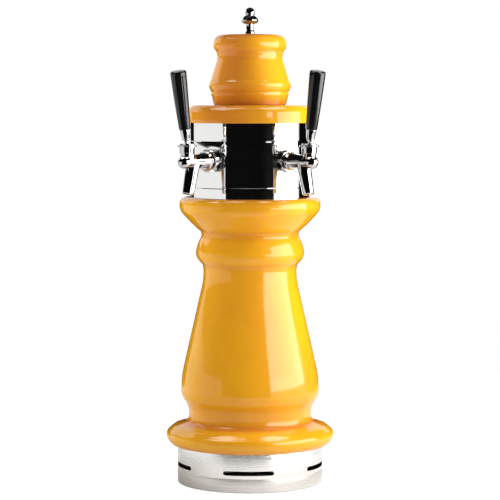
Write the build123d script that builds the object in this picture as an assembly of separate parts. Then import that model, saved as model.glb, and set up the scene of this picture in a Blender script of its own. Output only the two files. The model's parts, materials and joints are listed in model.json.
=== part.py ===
from build123d import *
import math
import os

# Two-tap draft tower. A glazed ceramic body and cap are clamped by one tie rod between a
# stainless base and a finial, with a polished band between them that carries both taps.
# Millimetres. Z is up, the origin is the centre of the base on the counter, and the
# front faces -Y.

# ---- Clearances ----
RUN = 0.05        # radial, shafts and threads in their bores
SLIP = 0.2        # pieces that drop into each other
BALL_GAP = 0.3    # round the lever's ball
SEAT_GAP = 0.1    # closed seal to its seat

# ---- Base rings ----
RING_R = 116.6
RING_WALL = 3.2
RING_LIFT = 0.6          # the rim stops this far above the counter
RING_EDGE = 1.2          # rounding of the rim's lower edge
FLANGE_RING_H = 21.8
FLANGE_FLOOR_T = 6.0
THROAT_R = 62.0          # hose way through the floor
BOLT_COUNT = 4
BOLT_PCD = 180.0
BOLT_HOLE_R = 4.0
BASE_GASKET_OUT_R = 110.0
BASE_GASKET_W = 9.0
BASE_GASKET_T = 2.0
RISER_H = 38.8
SPIGOT_WALL = 2.6
SPIGOT_DROP = 6.0        # reach of the riser's spigot into the flange ring
SPIGOT_LAP = 3.0         # how far the spigot overlaps the riser wall above the seam
SHELF_T = 4.0
SHELF_W = 20.8           # reach of the shelf inside the wall
LIP_WALL = 3.0           # centring lip on the shelf
LIP_H = 6.0
SLOT_COUNT = 5
SLOT_ARC_DEG = 40.0
SLOT_H = 7.0
SLOT_RISE = 9.1          # slot centre above the seam
FOOT_GASKET_T = 1.4
GASKET_INSET = 1.2       # gaskets stop this far inside the outer edge

# ---- Tie rod ----
ROD_R = 5.0
ROD_FOOT = 0.6           # rod end above the flange's underside
BAR_L = 190.0
BAR_W = 16.0             # narrow enough to leave the beer lines a straight way down
BAR_T = 8.0
BAR_SCREW_X = 84.0
BAR_SCREW_R = 3.0
SCREW_HEAD_R = 5.0
SCREW_HEAD_H = 5.0
JAM_NUT_AF = 17.0
JAM_NUT_H = 8.0

# ---- Ceramic body: radii of its turned features ----
BODY_WALL = 10.0
FOOT_R = 135.1
FOOT_TUCK = 10.1         # the underside's edge is this far inside the foot
WAIST_R = 98.6
SHOULDER_R = 111.5
NECK_R = 74.7
COLLAR_R = 86.9
BOWL_ROOT_R = 77.8
RIM_R = 112.8
RIM_ROLL = 10.8          # width of the rim's rounded top
RIM_SHELF_T = 10.0       # wall under the band's seat
# Sections from the foot to the rim: end radius, height, bulge (outwards if positive).
BODY_FOOT_EDGE_R = FOOT_R - FOOT_TUCK
BODY_SECTIONS = (
    (FOOT_R - 6.5, 2.2, 0.5),         # foot, lower edge
    (FOOT_R, 13.4, 1.7),              # foot, tuck
    (FOOT_R - 8.1, 11.2, 2.1),        # foot, roll
    (WAIST_R + 5.0, 9.4, 0.8),        # foot, slope
    (WAIST_R, 14.2, -1.9),            # waist, lower half
    (SHOULDER_R - 5.7, 20.0, -1.6),   # waist, upper half
    (SHOULDER_R, 16.0, 1.1),          # shoulder
    (SHOULDER_R - 4.4, 35.0, 0.6),    # cone, swelling into the shoulder
    (NECK_R + 4.3, 124.0, 0.0),       # cone
    (NECK_R, 26.0, -0.7),             # cone, fading into the neck
    (NECK_R, 7.0, 0.0),               # neck
    (NECK_R + 2.2, 11.6, -0.75),      # neck fillet
    (COLLAR_R, 16.9, 2.1),            # collar bead, lower half
    (BOWL_ROOT_R, 26.5, 1.55),        # collar bead, upper half
    (BOWL_ROOT_R + 1.0, 8.0, -0.4),   # bowl root
    (RIM_R - 6.2, 27.4, 0.8),         # bowl
    (RIM_R, 13.6, 1.4),               # bowl, turning up
    (RIM_R - 0.2, 4.0, 0.0),          # rim band
    (RIM_R - RIM_ROLL, 10.0, 2.75),   # rim roll
)

# ---- Faucet band ----
BAND_R = 95.0
BAND_WALL = 1.5
BAND_H = 128.5
BAND_SEAT = 5.0          # depth of the band in the body's rim and in the cap
BAND_GASKET_T = 1.4
BAND_GASKET_W = 6.0
GROOVE_LOW_H = 21.7      # groove heights above the band's lower edge
GROOVE_HIGH_H = 95.1
GROOVE_W = 1.1
GROOVE_DEPTH = 0.6
TAP_H = 65.0             # tap axis above the band's lower edge

# ---- Ceramic cap: brim and urn in one casting ----
CAP_WALL = 8.0
BRIM_OVERHANG = 5.0
BRIM_EDGE = 1.2          # rounding of the brim's lower edge
BRIM_ROLL = 9.0          # width of the brim's rolled top edge
URN_FOOT_R = 62.2
URN_BEAD_R = 64.4
URN_WAIST_R = 52.2
URN_TOP_R = 58.3
URN_TOP_ROLL = 14.3      # width of the urn's rounded top
CAP_BORE_R = 86.0
CAP_ROD_HOLE_R = 6.0
CAP_SECTIONS = (
    (BAND_R + BRIM_OVERHANG, 1.5, 0.33),        # brim, lower edge
    (BAND_R + BRIM_OVERHANG, 17.5, 0.0),        # brim, side
    (BAND_R + BRIM_OVERHANG - BRIM_ROLL, 8.9, 2.6),   # brim, rolled top edge
    (URN_FOOT_R - 6.0, 0.2, 0.0),               # brim, top
    (URN_FOOT_R - 0.3, 8.4, 2.2),               # urn foot roll
    (URN_FOOT_R, 10.5, 0.0),                    # urn foot
    (URN_BEAD_R, 10.0, 0.0),                    # slope under the bead
    (URN_BEAD_R, 11.0, 0.9),                    # urn bead
    (URN_BEAD_R - 3.4, 4.0, -0.5),              # step over the bead
    (URN_WAIST_R, 25.5, 0.0),                   # urn belly
    (URN_WAIST_R + 0.2, 13.2, -1.1),            # urn waist
    (URN_TOP_R, 13.3, -1.0),                    # under the top roll
    (URN_TOP_R - URN_TOP_ROLL, 15.9, 4.4),      # top roll
)

# ---- Finial ----
FINIAL_WASHER_T = 1.4
FINIAL_WASHER_R = 8.6
FINIAL_BORE_R = ROD_R + RUN
FINIAL_BORE_DEPTH = 15.0
ROD_IN_FINIAL = 14.0
FINIAL_FOOT_R = 7.6
FINIAL_STEM_R = 6.2
FINIAL_CUP_R = 13.6
FINIAL_NECK_R = 6.3
FINIAL_BALL_R = 7.6
FINIAL_SECTIONS = (
    (FINIAL_FOOT_R, 3.2, 0.0),      # foot
    (FINIAL_STEM_R, 3.0, -0.3),     # foot cove
    (FINIAL_STEM_R, 9.4, 0.0),      # stem
    (FINIAL_CUP_R, 6.2, 1.9),       # cup, underside
    (FINIAL_NECK_R, 7.6, 1.1),      # cup, top
    (FINIAL_BALL_R, 4.8, 0.6),      # ball, lower part
    (0.0, FINIAL_BALL_R, FINIAL_BALL_R * (1 - math.sqrt(0.5))),   # ball, crown
)

# ---- Taps: placing ----
TAPS = (("left", -35.0), ("right", 35.0))   # azimuth from the front, towards +X

# ---- Shank and its fittings, measured outwards along the tap axis ----
SHANK_R = 11.0
SHANK_IN_X = 45.0
SHANK_BORE_R = 5.0
SADDLE_T = 2.8           # at the crown of the band
SADDLE_R = 17.0
INNER_SADDLE_T = 2.5
SHANK_FLANGE_R = 16.0
SHANK_FLANGE_T = 2.0
SHANK_NUT_AF = 30.0
SHANK_NUT_T = 7.0
SHANK_NOSE_R = 13.0
SHANK_NOSE_T = 2.8
VALVE_CHAMBER_R = 8.8
VALVE_CHAMBER_L = 13.4

# ---- Coupling nut ----
NUT_R = 18.0
NUT_L = 14.0
NUT_LIP_T = 3.4
NUT_THREAD_R = 14.3
NUT_SLOTS = 6
NUT_SLOT_W = 3.4
NUT_SLOT_DEPTH = 1.7
NUT_EDGE = 1.0
COUPLING_GASKET_T = 1.2
COUPLING_GASKET_R = 12.6

# ---- Tail end and product tube ----
TAIL_NUT_AF = 27.0
TAIL_NUT_L = 18.0
TAIL_NUT_LAP = 10.0      # how far it screws over the shank
TAIL_LIP_T = 3.2
TAIL_WASHER_T = 1.2
TAIL_R = 9.8
TAIL_FLANGE_T = 2.5
TAIL_NIPPLE_R = 5.4
TAIL_NIPPLE_L = 7.5
TUBE_R = 4.0
TUBE_BORE_R = 3.0
TUBE_BEND_R = 16.0
TUBE_END_Z = 18.0        # tube ends above the counter
TUBE_END_L = 20.0        # length that a beer line is pushed over, up to the bead
TUBE_BEAD_R = 4.8
TUBE_BEAD_W = 2.4

# ---- Faucet body ----
REAR_THREAD_L = 6.6
COLLAR_L = 4.1           # shoulder in front of the coupling nut
COLLAR_FACE_R = 14.9
COLLAR_EDGE_R = 13.4     # where the taper starts in front of the collar's bevel
COLLAR_EDGE_L = 1.0
BARREL_HOLLOW = 0.5      # how far the taper is drawn in
BARREL_R = 10.5
BARREL_NECK_R = 11.0
BARREL_NECK_X = 145.0
LEVER_X = 163.5          # lever pivot's distance from the tower axis
LEVER_Z = 20.0           # lever pivot above the tap axis
DOME_AHEAD = 6.1         # dome centre ahead of the lever
BORE_R = 6.0
BARREL_TIP_WALL = 8.9    # metal left ahead of the bore
SEAT_DEPTH = 4.4         # seat face ahead of the body's rear face
SEAT_CHAMBER_R = 9.2
BOSS_R = 10.0
BOSS_TOP_Z = 13.2
BOSS_TAIL = 2.5          # the boss's root reaches this far further back
BONNET_THREAD_R = 9.8
BONNET_THREAD_TOP_Z = 22.0
SOCKET_R = 7.2
SOCKET_FLOOR_Z = 13.6
SPOUT_ROOT_X = 147.5     # where the spout's axis crosses the barrel's
SPOUT_LEAN_DEG = 15.7
SPOUT_L = 51.9
SPOUT_ROOT_R = 10.8
SPOUT_TOP_R = 10.3
SPOUT_TOP_L = 18.0
SPOUT_MOUTH_R = 8.6
SPOUT_BORE_R = 5.2
MOUTH_BORE_R = 5.5       # wider bore at the mouth, for a cap or a filling hose
MOUTH_BORE_L = 22.0
SPOUT_LIP = 0.6          # rounding of the mouth's outer edge

# ---- Lever, its socket and the handle, measured along the lever from the pivot ----
LEVER_LEAN_DEG = 10.5    # lean from upright, outwards, with the tap closed
LEVER_SWING_DEG = 24.0   # further lean with the tap open
BALL_R = 6.0
NECK_PIN_R = 2.9
TONGUE_PIN_R = 2.0
TONGUE_TIP_R = 2.7
TONGUE_L = 20.0
SWING_GAP = 0.4          # round the neck and the tongue in their slots
NECK_L = 12.3
LEVER_COLLAR_R = 5.8
LEVER_COLLAR_S = 13.8
FERRULE_S = 16.0
STUD_R = 3.9
STUD_L = 11.0
FERRULE_LOW_R = 6.2
FERRULE_TOP_R = 7.9
FERRULE_L = 14.6
INSERT_R = 5.0
INSERT_L = 13.4
GRIP_LOW_R = 8.8
GRIP_TOP_R = 12.6
GRIP_L = 91.0
GRIP_TOP_ROUND = 3.6
GRIP_LOW_ROUND = 1.0
BALL_WASHER_T = 3.0
FRICTION_WASHER_R = 9.2
WASHER_IN_R = 4.7
BONNET_R = 11.6
BONNET_BRIM_R = 15.0
BONNET_BRIM_T = 2.0
BONNET_BRIM_Z = 23.4
BONNET_TOP_Z = 28.0
BONNET_ROOF_T = 1.8
BONNET_ROUND = 1.2

# ---- Valve shaft, measured outwards along the tap axis ----
SHAFT_R = 2.5
SHAFT_TAIL = 1.2         # rod end behind its nut
SEAL_R = 8.0
SEAL_T = 3.0
SEAL_SHOULDER_R = 4.5    # shoulder that the seal is clamped to
SEAL_SHOULDER_L = 2.5
SHAFT_NUT_AF = 9.0
SHAFT_NUT_T = 4.0
PISTON_L = 15.6
PISTON_AHEAD = 10.2      # piston front ahead of the slot's centre
SLOT_GAP = 0.5           # each side of the lever's tip
SLOT_FLOOR_Z = -3.0
SLOT_MOUTH_Z = 2.0       # the slot flares forwards from here up
SLOT_FLARE = 2.6

# ---- Worked out from the sizes above ----
SHELF_IN_R = RING_R - RING_WALL - SHELF_W
LIP_R = SHELF_IN_R + LIP_WALL
FOOT_BORE_R = LIP_R + 2 * SLIP
SEAM_Z = RING_LIFT + FLANGE_RING_H
RISER_TOP_Z = SEAM_Z + RISER_H
FLOOR_TOP_Z = RING_LIFT + FLANGE_FLOOR_T
BODY_Z = RISER_TOP_Z + FOOT_GASKET_T
RIM_Z = BODY_Z + sum(height for _, height, _ in BODY_SECTIONS)
BAND_Z = RIM_Z - BAND_SEAT
BAND_TOP_Z = BAND_Z + BAND_H
CAP_Z = BAND_TOP_Z - BAND_SEAT
CAP_TOP_Z = CAP_Z + sum(height for _, height, _ in CAP_SECTIONS)
FINIAL_Z = CAP_TOP_Z + FINIAL_WASHER_T
TAP_Z = BAND_Z + TAP_H
FLANGE_X = BAND_R + SADDLE_T
NUT_X = FLANGE_X + SHANK_FLANGE_T + SLIP
NOSE_X = NUT_X + NUT_LIP_T + SLIP
GASKET_X = NOSE_X + SHANK_NOSE_T
FAUCET_X = GASKET_X + COUPLING_GASKET_T
SEAT_X = FAUCET_X + SEAT_DEPTH
DOME_X = LEVER_X + DOME_AHEAD
OPEN_LEAN_DEG = LEVER_LEAN_DEG + LEVER_SWING_DEG
SLOT_X = LEVER_X - TONGUE_L * math.sin(math.radians(LEVER_LEAN_DEG))
SEAL_FRONT_X = SEAT_X - SEAT_GAP
SHAFT_NUT_X = SEAL_FRONT_X - SEAL_T - SHAFT_NUT_T
TUBE_X = SHANK_IN_X - TAIL_WASHER_T - TAIL_FLANGE_T - TAIL_NIPPLE_L - TUBE_BEND_R


# ---- Shared shapes ----
def chain(start, sections):
    """Edges of a turned outline: from start (radius, height) through each section."""
    edges = []
    radius, height = start
    for end_radius, rise, bulge in sections:
        here = (radius, height)
        there = (end_radius, height + rise)
        if bulge:
            edges.append(SagittaArc(here, there, -bulge))
        else:
            edges.append(Line(here, there))
        radius, height = there
    return edges


def half_section(start, sections):
    """Half section of a solid turned piece, closed along the axis."""
    edges = chain(start, sections)
    top = start[1] + sum(rise for _, rise, _ in sections)
    end_radius = sections[-1][0]
    edges.append(Line((0, start[1]), start))
    if end_radius:
        edges.append(Line((end_radius, top), (0, top)))
    edges.append(Line((0, top), (0, start[1])))
    return make_face(edges)


def turn(section):
    """Solid of revolution about Z from a section drawn as (radius, height)."""
    return revolve(Plane.XZ * section, Axis.Z)


def disc(radius, low_z, high_z):
    """Solid cylinder about Z between two heights."""
    height = high_z - low_z
    return Pos(0, 0, low_z + height / 2) * Cylinder(radius, height)


def ring(out_radius, in_radius, low_z, high_z):
    """Plain ring about Z."""
    return disc(out_radius, low_z, high_z) - disc(in_radius, low_z, high_z)


def rod_x(radius, low_x, high_x):
    """Solid cylinder about X between two places on the tap axis."""
    length = high_x - low_x
    return Pos(low_x + length / 2, 0, 0) * Rot(0, 90, 0) * Cylinder(radius, length)


def hex_x(across_flats, low_x, high_x):
    """Hexagonal prism along X."""
    profile = Plane.YZ.offset(low_x) * RegularPolygon(across_flats / 2, 6, major_radius=False)
    return extrude(profile, high_x - low_x)


def hollow_casting(start, sections, wall):
    """Turned shell of even wall, closed top and bottom; returns the solid and its hollow."""
    half = half_section(start, sections)
    whole = half + mirror(half, Plane.YZ)
    inside = offset(whole, -wall)
    reach = 2 * max(radius for radius, _, _ in sections)
    top = start[1] + sum(rise for _, rise, _ in sections)
    right = Pos(reach / 2, (start[1] + top) / 2) * Rectangle(reach, 2 * (top - start[1]))
    return turn(half), turn(inside & right)


# ---- Base ----
def base_flange():
    in_r = RING_R - RING_WALL
    body = disc(RING_R, RING_LIFT, SEAM_Z) - disc(in_r, FLOOR_TOP_Z, SEAM_Z)
    body = fillet(body.edges().filter_by(GeomType.CIRCLE).group_by(Axis.Z)[0], RING_EDGE)
    body -= disc(THROAT_R, RING_LIFT, FLOOR_TOP_Z)
    body -= ring(BASE_GASKET_OUT_R + SLIP, BASE_GASKET_OUT_R - BASE_GASKET_W - SLIP,
                 RING_LIFT, BASE_GASKET_T)
    bolt_hole = disc(BOLT_HOLE_R, RING_LIFT, FLOOR_TOP_Z)
    for index in range(BOLT_COUNT):
        turned = Rot(0, 0, (index + 0.5) * 360 / BOLT_COUNT)
        body -= turned * Pos(BOLT_PCD / 2, 0, 0) * bolt_hole
    screw_hole = disc(BAR_SCREW_R + RUN, RING_LIFT, FLOOR_TOP_Z)
    for side in (-1, 1):
        body -= Pos(side * BAR_SCREW_X, 0, 0) * screw_hole
    return body


def base_gasket():
    return ring(BASE_GASKET_OUT_R, BASE_GASKET_OUT_R - BASE_GASKET_W, 0, BASE_GASKET_T)


def riser_ring():
    in_r = RING_R - RING_WALL
    spigot_r = in_r - SLIP
    wall = ring(RING_R, in_r, SEAM_Z, RISER_TOP_Z)
    shelf = ring(RING_R, SHELF_IN_R, RISER_TOP_Z - SHELF_T, RISER_TOP_Z)
    lip = ring(LIP_R, SHELF_IN_R, RISER_TOP_Z - SHELF_T, RISER_TOP_Z + LIP_H)
    spigot = ring(spigot_r, spigot_r - SPIGOT_WALL, SEAM_Z - SPIGOT_DROP, SEAM_Z)
    spigot += ring(in_r, spigot_r - SPIGOT_WALL, SEAM_Z, SEAM_Z + SPIGOT_LAP)
    body = wall + shelf + lip + spigot
    width = 2 * RING_R * math.sin(math.radians(SLOT_ARC_DEG / 2))
    slot = extrude(Plane.XZ * SlotOverall(width, SLOT_H), RING_R + RING_WALL)
    slot -= disc(in_r - RING_WALL, -SLOT_H, SLOT_H)
    for index in range(SLOT_COUNT):
        angle = index * 360 / SLOT_COUNT
        body -= Pos(0, 0, SEAM_Z + SLOT_RISE) * Rot(0, 0, angle) * slot
    return body


def foot_gasket():
    return ring(RING_R - GASKET_INSET, LIP_R + SLIP, RISER_TOP_Z, BODY_Z)


# ---- Tie rod ----
def tie_bar():
    body = Pos(0, 0, FLOOR_TOP_Z + BAR_T / 2) * Box(BAR_L, BAR_W, BAR_T)
    body -= disc(ROD_R + RUN, FLOOR_TOP_Z, FLOOR_TOP_Z + BAR_T)
    for side in (-1, 1):
        hole = disc(BAR_SCREW_R + RUN, FLOOR_TOP_Z, FLOOR_TOP_Z + BAR_T)
        body -= Pos(side * BAR_SCREW_X, 0, 0) * hole
    return body


def tie_bar_screws():
    head_z = FLOOR_TOP_Z + BAR_T
    screw = disc(BAR_SCREW_R, RING_LIFT + BASE_GASKET_T, head_z)
    screw += disc(SCREW_HEAD_R, head_z, head_z + SCREW_HEAD_H)
    return Pos(-BAR_SCREW_X, 0, 0) * screw + Pos(BAR_SCREW_X, 0, 0) * screw


def tie_rod():
    return disc(ROD_R, FLOOR_TOP_Z + ROD_FOOT, FINIAL_Z + ROD_IN_FINIAL)


def jam_nut():
    low_z = FLOOR_TOP_Z + BAR_T
    profile = Pos(0, 0, low_z) * RegularPolygon(JAM_NUT_AF / 2, 6, major_radius=False)
    return extrude(profile, JAM_NUT_H) - disc(ROD_R + RUN, low_z, low_z + JAM_NUT_H)


# ---- Ceramic ----
def ceramic_body():
    start = (BODY_FOOT_EDGE_R, BODY_Z)
    body, hollow = hollow_casting(start, BODY_SECTIONS, BODY_WALL)
    seat_z = BAND_Z - BAND_GASKET_T
    hollow -= disc(RIM_R, seat_z - RIM_SHELF_T, RIM_Z)
    body -= hollow
    body -= disc(FOOT_BORE_R, BODY_Z, BODY_Z + 2 * BODY_WALL)
    body -= disc(BAND_R - BAND_GASKET_W, seat_z - 2 * RIM_SHELF_T, RIM_Z)
    body -= disc(BAND_R + SLIP, seat_z, RIM_Z)
    return body


def ceramic_cap():
    start = (BAND_R + BRIM_OVERHANG - BRIM_EDGE, CAP_Z)
    body, hollow = hollow_casting(start, CAP_SECTIONS, CAP_WALL)
    seat_z = BAND_TOP_Z + BAND_GASKET_T
    body -= hollow - disc(BAND_R + BRIM_OVERHANG, CAP_Z, seat_z + CAP_WALL)
    body -= disc(CAP_BORE_R, CAP_Z, seat_z + 2 * CAP_WALL)
    body -= disc(BAND_R + SLIP, CAP_Z, seat_z)
    body -= disc(CAP_ROD_HOLE_R, CAP_TOP_Z - 2 * CAP_WALL, CAP_TOP_Z)
    return body


# ---- Band ----
def faucet_band():
    body = ring(BAND_R, BAND_R - BAND_WALL, BAND_Z, BAND_TOP_Z)
    for height in (GROOVE_LOW_H, GROOVE_HIGH_H):
        middle = BAND_Z + height
        body -= ring(BAND_R + GROOVE_W, BAND_R - GROOVE_DEPTH,
                     middle - GROOVE_W / 2, middle + GROOVE_W / 2)
    for _, azimuth in TAPS:
        body -= tap_place(azimuth) * rod_x(SHANK_R + SLIP, BAND_R / 2, BAND_R + SADDLE_T)
    return body


def lower_band_gasket():
    return ring(BAND_R, BAND_R - BAND_GASKET_W, BAND_Z - BAND_GASKET_T, BAND_Z)


def upper_band_gasket():
    return ring(BAND_R, BAND_R - BAND_GASKET_W, BAND_TOP_Z, BAND_TOP_Z + BAND_GASKET_T)


# ---- Finial ----
def finial_washer():
    return ring(FINIAL_WASHER_R, ROD_R + SLIP, CAP_TOP_Z, FINIAL_Z)


def finial():
    body = turn(half_section((FINIAL_FOOT_R, FINIAL_Z), FINIAL_SECTIONS))
    return body - disc(FINIAL_BORE_R, FINIAL_Z, FINIAL_Z + FINIAL_BORE_DEPTH)


# ---- Tap: places ----
def tap_place(azimuth):
    """Frame of one tap: X outwards along its axis, Z up, on the tower's axis."""
    return Pos(0, 0, TAP_Z) * Rot(0, 0, azimuth - 90)


def lever_place():
    """Frame of the lever with the tap closed: Z along the lever from its pivot."""
    return Pos(LEVER_X, 0, LEVER_Z) * Rot(0, LEVER_LEAN_DEG, 0)


def swing_slot(radius, length):
    """Room that a pin of this radius sweeps on one side of the pivot, in the tap's frame."""
    lean = math.radians(LEVER_LEAN_DEG)
    open_lean = math.radians(OPEN_LEAN_DEG)
    far_low = (length * math.sin(lean), length * math.cos(lean))
    far_open = (length * math.sin(open_lean), length * math.cos(open_lean))
    fan = Plane.XZ * make_face(Polyline((0, 0), far_low, far_open, close=True))
    room = extrude(fan, radius, both=True)
    for angle in (LEVER_LEAN_DEG, OPEN_LEAN_DEG):
        sign = 1 if length > 0 else -1
        pin = Pos(0, 0, length / 2) * Cylinder(radius, sign * length)
        room += Rot(0, angle, 0) * pin
    return Pos(LEVER_X, 0, LEVER_Z) * room


# ---- Tap: shank group ----
def saddle_washer():
    body = rod_x(SADDLE_R, BAND_R / 2, FLANGE_X) - Cylinder(BAND_R, 4 * SADDLE_R)
    return body - rod_x(SHANK_R + SLIP, BAND_R / 2, FLANGE_X)


def inner_saddle():
    in_r = BAND_R - BAND_WALL
    low_x = in_r - INNER_SADDLE_T
    body = rod_x(SADDLE_R, low_x, in_r) & Cylinder(in_r, 4 * SADDLE_R)
    return body - rod_x(SHANK_R + SLIP, low_x, in_r)


def shank():
    body = rod_x(SHANK_R, SHANK_IN_X, GASKET_X)
    body += rod_x(SHANK_FLANGE_R, FLANGE_X, FLANGE_X + SHANK_FLANGE_T)
    body += rod_x(SHANK_NOSE_R, NOSE_X, GASKET_X)
    body -= rod_x(SHANK_BORE_R, SHANK_IN_X, GASKET_X)
    return body - rod_x(VALVE_CHAMBER_R, GASKET_X - VALVE_CHAMBER_L, GASKET_X)


def shank_nut():
    high_x = BAND_R - BAND_WALL - INNER_SADDLE_T
    body = hex_x(SHANK_NUT_AF, high_x - SHANK_NUT_T, high_x)
    return body - rod_x(SHANK_R + RUN, high_x - SHANK_NUT_T, high_x)


def coupling_nut():
    front_x = NUT_X + NUT_L
    body = rod_x(NUT_R, NUT_X, front_x)
    body = fillet(body.edges().filter_by(GeomType.CIRCLE), NUT_EDGE)
    slot = Pos((NUT_X + front_x) / 2 + NUT_LIP_T, NUT_R, 0)
    cutter = slot * Box(NUT_L, 2 * NUT_SLOT_DEPTH, NUT_SLOT_W)
    for index in range(NUT_SLOTS):
        body -= Rot(index * 360 / NUT_SLOTS, 0, 0) * cutter
    body -= rod_x(SHANK_R + SLIP, NUT_X, front_x)
    return body - rod_x(NUT_THREAD_R, NUT_X + NUT_LIP_T, front_x)


def coupling_gasket():
    body = rod_x(COUPLING_GASKET_R, GASKET_X, FAUCET_X)
    return body - rod_x(SEAT_CHAMBER_R, GASKET_X, FAUCET_X)


# ---- Tap: tail group ----
def tail_nut():
    high_x = SHANK_IN_X + TAIL_NUT_LAP
    low_x = high_x - TAIL_NUT_L
    body = hex_x(TAIL_NUT_AF, low_x, high_x)
    body -= rod_x(SHANK_R + RUN, low_x + TAIL_LIP_T, high_x)
    return body - rod_x(TAIL_NIPPLE_R + SLIP, low_x, high_x)


def tail_washer():
    body = rod_x(TAIL_R, SHANK_IN_X - TAIL_WASHER_T, SHANK_IN_X)
    return body - rod_x(SHANK_BORE_R, SHANK_IN_X - TAIL_WASHER_T, SHANK_IN_X)


def tailpiece():
    high_x = SHANK_IN_X - TAIL_WASHER_T
    flange_x = high_x - TAIL_FLANGE_T
    low_x = flange_x - TAIL_NIPPLE_L
    body = rod_x(TAIL_R, flange_x, high_x) + rod_x(TAIL_NIPPLE_R, low_x, flange_x)
    body -= rod_x(TUBE_R + RUN, low_x, flange_x)
    return body - rod_x(TUBE_BORE_R, flange_x, high_x)


def product_tube():
    start_x = SHANK_IN_X - TAIL_WASHER_T - TAIL_FLANGE_T
    bend_x = TUBE_X + TUBE_BEND_R
    corner = Pos(bend_x, 0, -TUBE_BEND_R)
    quarter = corner * tube_bend(TUBE_R) - corner * tube_bend(TUBE_BORE_R)
    low_z = TUBE_END_Z - TAP_Z
    bead_z = low_z + TUBE_END_L
    drop = ring(TUBE_R, TUBE_BORE_R, low_z, -TUBE_BEND_R)
    drop += ring(TUBE_BEAD_R, TUBE_BORE_R, bead_z, bead_z + TUBE_BEAD_W)
    body = rod_x(TUBE_R, bend_x, start_x) - rod_x(TUBE_BORE_R, bend_x, start_x)
    return body + quarter + Pos(TUBE_X, 0, 0) * drop


def tube_bend(radius):
    """Quarter bend about Y that joins a run towards +X with a run down."""
    profile = Pos(-TUBE_BEND_R, 0, 0) * Circle(radius)
    return revolve(profile, Axis.Y, 90)


# ---- Tap: faucet body ----
def barrel():
    thread_end = FAUCET_X + REAR_THREAD_L
    collar_end = thread_end + COLLAR_L
    taper_x = collar_end + COLLAR_EDGE_L
    level_x = SPOUT_ROOT_X + MOUTH_BORE_R
    thread_r = NUT_THREAD_R - SLIP
    tip = math.sqrt(0.5) * BARREL_R
    outline = [
        Line((FAUCET_X, 0), (FAUCET_X, thread_r)),
        Line((FAUCET_X, thread_r), (thread_end, thread_r)),
        Line((thread_end, thread_r), (thread_end, COLLAR_FACE_R)),
        Line((thread_end, COLLAR_FACE_R), (collar_end, COLLAR_FACE_R)),
        Line((collar_end, COLLAR_FACE_R), (taper_x, COLLAR_EDGE_R)),
        SagittaArc((taper_x, COLLAR_EDGE_R), (BARREL_NECK_X, BARREL_NECK_R), -BARREL_HOLLOW),
        Line((BARREL_NECK_X, BARREL_NECK_R), (level_x, BARREL_R)),
        Line((level_x, BARREL_R), (DOME_X, BARREL_R)),
        ThreePointArc((DOME_X, BARREL_R), (DOME_X + tip, tip), (DOME_X + BARREL_R, 0)),
        Line((DOME_X + BARREL_R, 0), (FAUCET_X, 0)),
    ]
    return revolve(make_face(outline), Axis.X)


def boss():
    root = SlotCenterToCenter(BOSS_TAIL, 2 * BOSS_R)
    body = Pos(LEVER_X - BOSS_TAIL / 2, 0, 0) * extrude(root, BOSS_TOP_Z)
    return body + Pos(LEVER_X, 0, 0) * disc(BONNET_THREAD_R, 0, BONNET_THREAD_TOP_Z)


def spout_place():
    """Frame of the spout: Z up along its axis, origin where it crosses the barrel's axis."""
    return Pos(SPOUT_ROOT_X, 0, 0) * Rot(0, -SPOUT_LEAN_DEG, 0)


def spout():
    mouth = (SPOUT_MOUTH_R, -SPOUT_L)
    outline = Polyline((0, -SPOUT_L), mouth, (SPOUT_TOP_R, -SPOUT_TOP_L), (SPOUT_ROOT_R, 0), (0, 0),
                       close=True)
    body = turn(make_face(outline))
    body = fillet(body.edges().filter_by(GeomType.CIRCLE).sort_by(Axis.Z)[0], SPOUT_LIP)
    return spout_place() * body


def faucet_body():
    body = barrel() + spout() + boss()
    body -= rod_x(SEAT_CHAMBER_R, FAUCET_X, SEAT_X)
    body -= rod_x(BORE_R, SEAT_X, DOME_X + BARREL_R - BARREL_TIP_WALL)
    body -= spout_place() * disc(SPOUT_BORE_R, -SPOUT_L, 0)
    body -= spout_place() * disc(MOUTH_BORE_R, -SPOUT_L, MOUTH_BORE_L - SPOUT_L)
    body -= Pos(LEVER_X, 0, 0) * disc(SOCKET_R, SOCKET_FLOOR_Z, BONNET_THREAD_TOP_Z)
    return body - swing_slot(TONGUE_TIP_R + SWING_GAP, -TONGUE_L)


# ---- Tap: bonnet and lever ----
def ball_room():
    return Pos(LEVER_X, 0, LEVER_Z) * Sphere(BALL_R + BALL_GAP)


def ball_washer():
    body = ring(SOCKET_R - SLIP, WASHER_IN_R, SOCKET_FLOOR_Z, SOCKET_FLOOR_Z + BALL_WASHER_T)
    body = Pos(LEVER_X, 0, 0) * body - ball_room()
    return body - swing_slot(TONGUE_TIP_R + SWING_GAP, -TONGUE_L)


def friction_washer():
    top_z = BONNET_TOP_Z - BONNET_ROOF_T - SEAT_GAP
    body = ring(FRICTION_WASHER_R, WASHER_IN_R, BONNET_THREAD_TOP_Z, top_z)
    body = Pos(LEVER_X, 0, 0) * body - ball_room()
    return body - swing_slot(NECK_PIN_R + SWING_GAP, NECK_L)


def bonnet():
    body = disc(BONNET_R, BOSS_TOP_Z + SLIP, BONNET_TOP_Z)
    body = fillet(body.edges().filter_by(GeomType.CIRCLE).sort_by(Axis.Z)[-1], BONNET_ROUND)
    brim = disc(BONNET_BRIM_R, BONNET_BRIM_Z, BONNET_BRIM_Z + BONNET_BRIM_T)
    body += fillet(brim.edges().filter_by(GeomType.CIRCLE), BONNET_BRIM_T / 3)
    body -= disc(BONNET_THREAD_R + RUN, BOSS_TOP_Z, BONNET_TOP_Z - BONNET_ROOF_T)
    return Pos(LEVER_X, 0, 0) * body - swing_slot(NECK_PIN_R + SWING_GAP, NECK_L)


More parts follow.
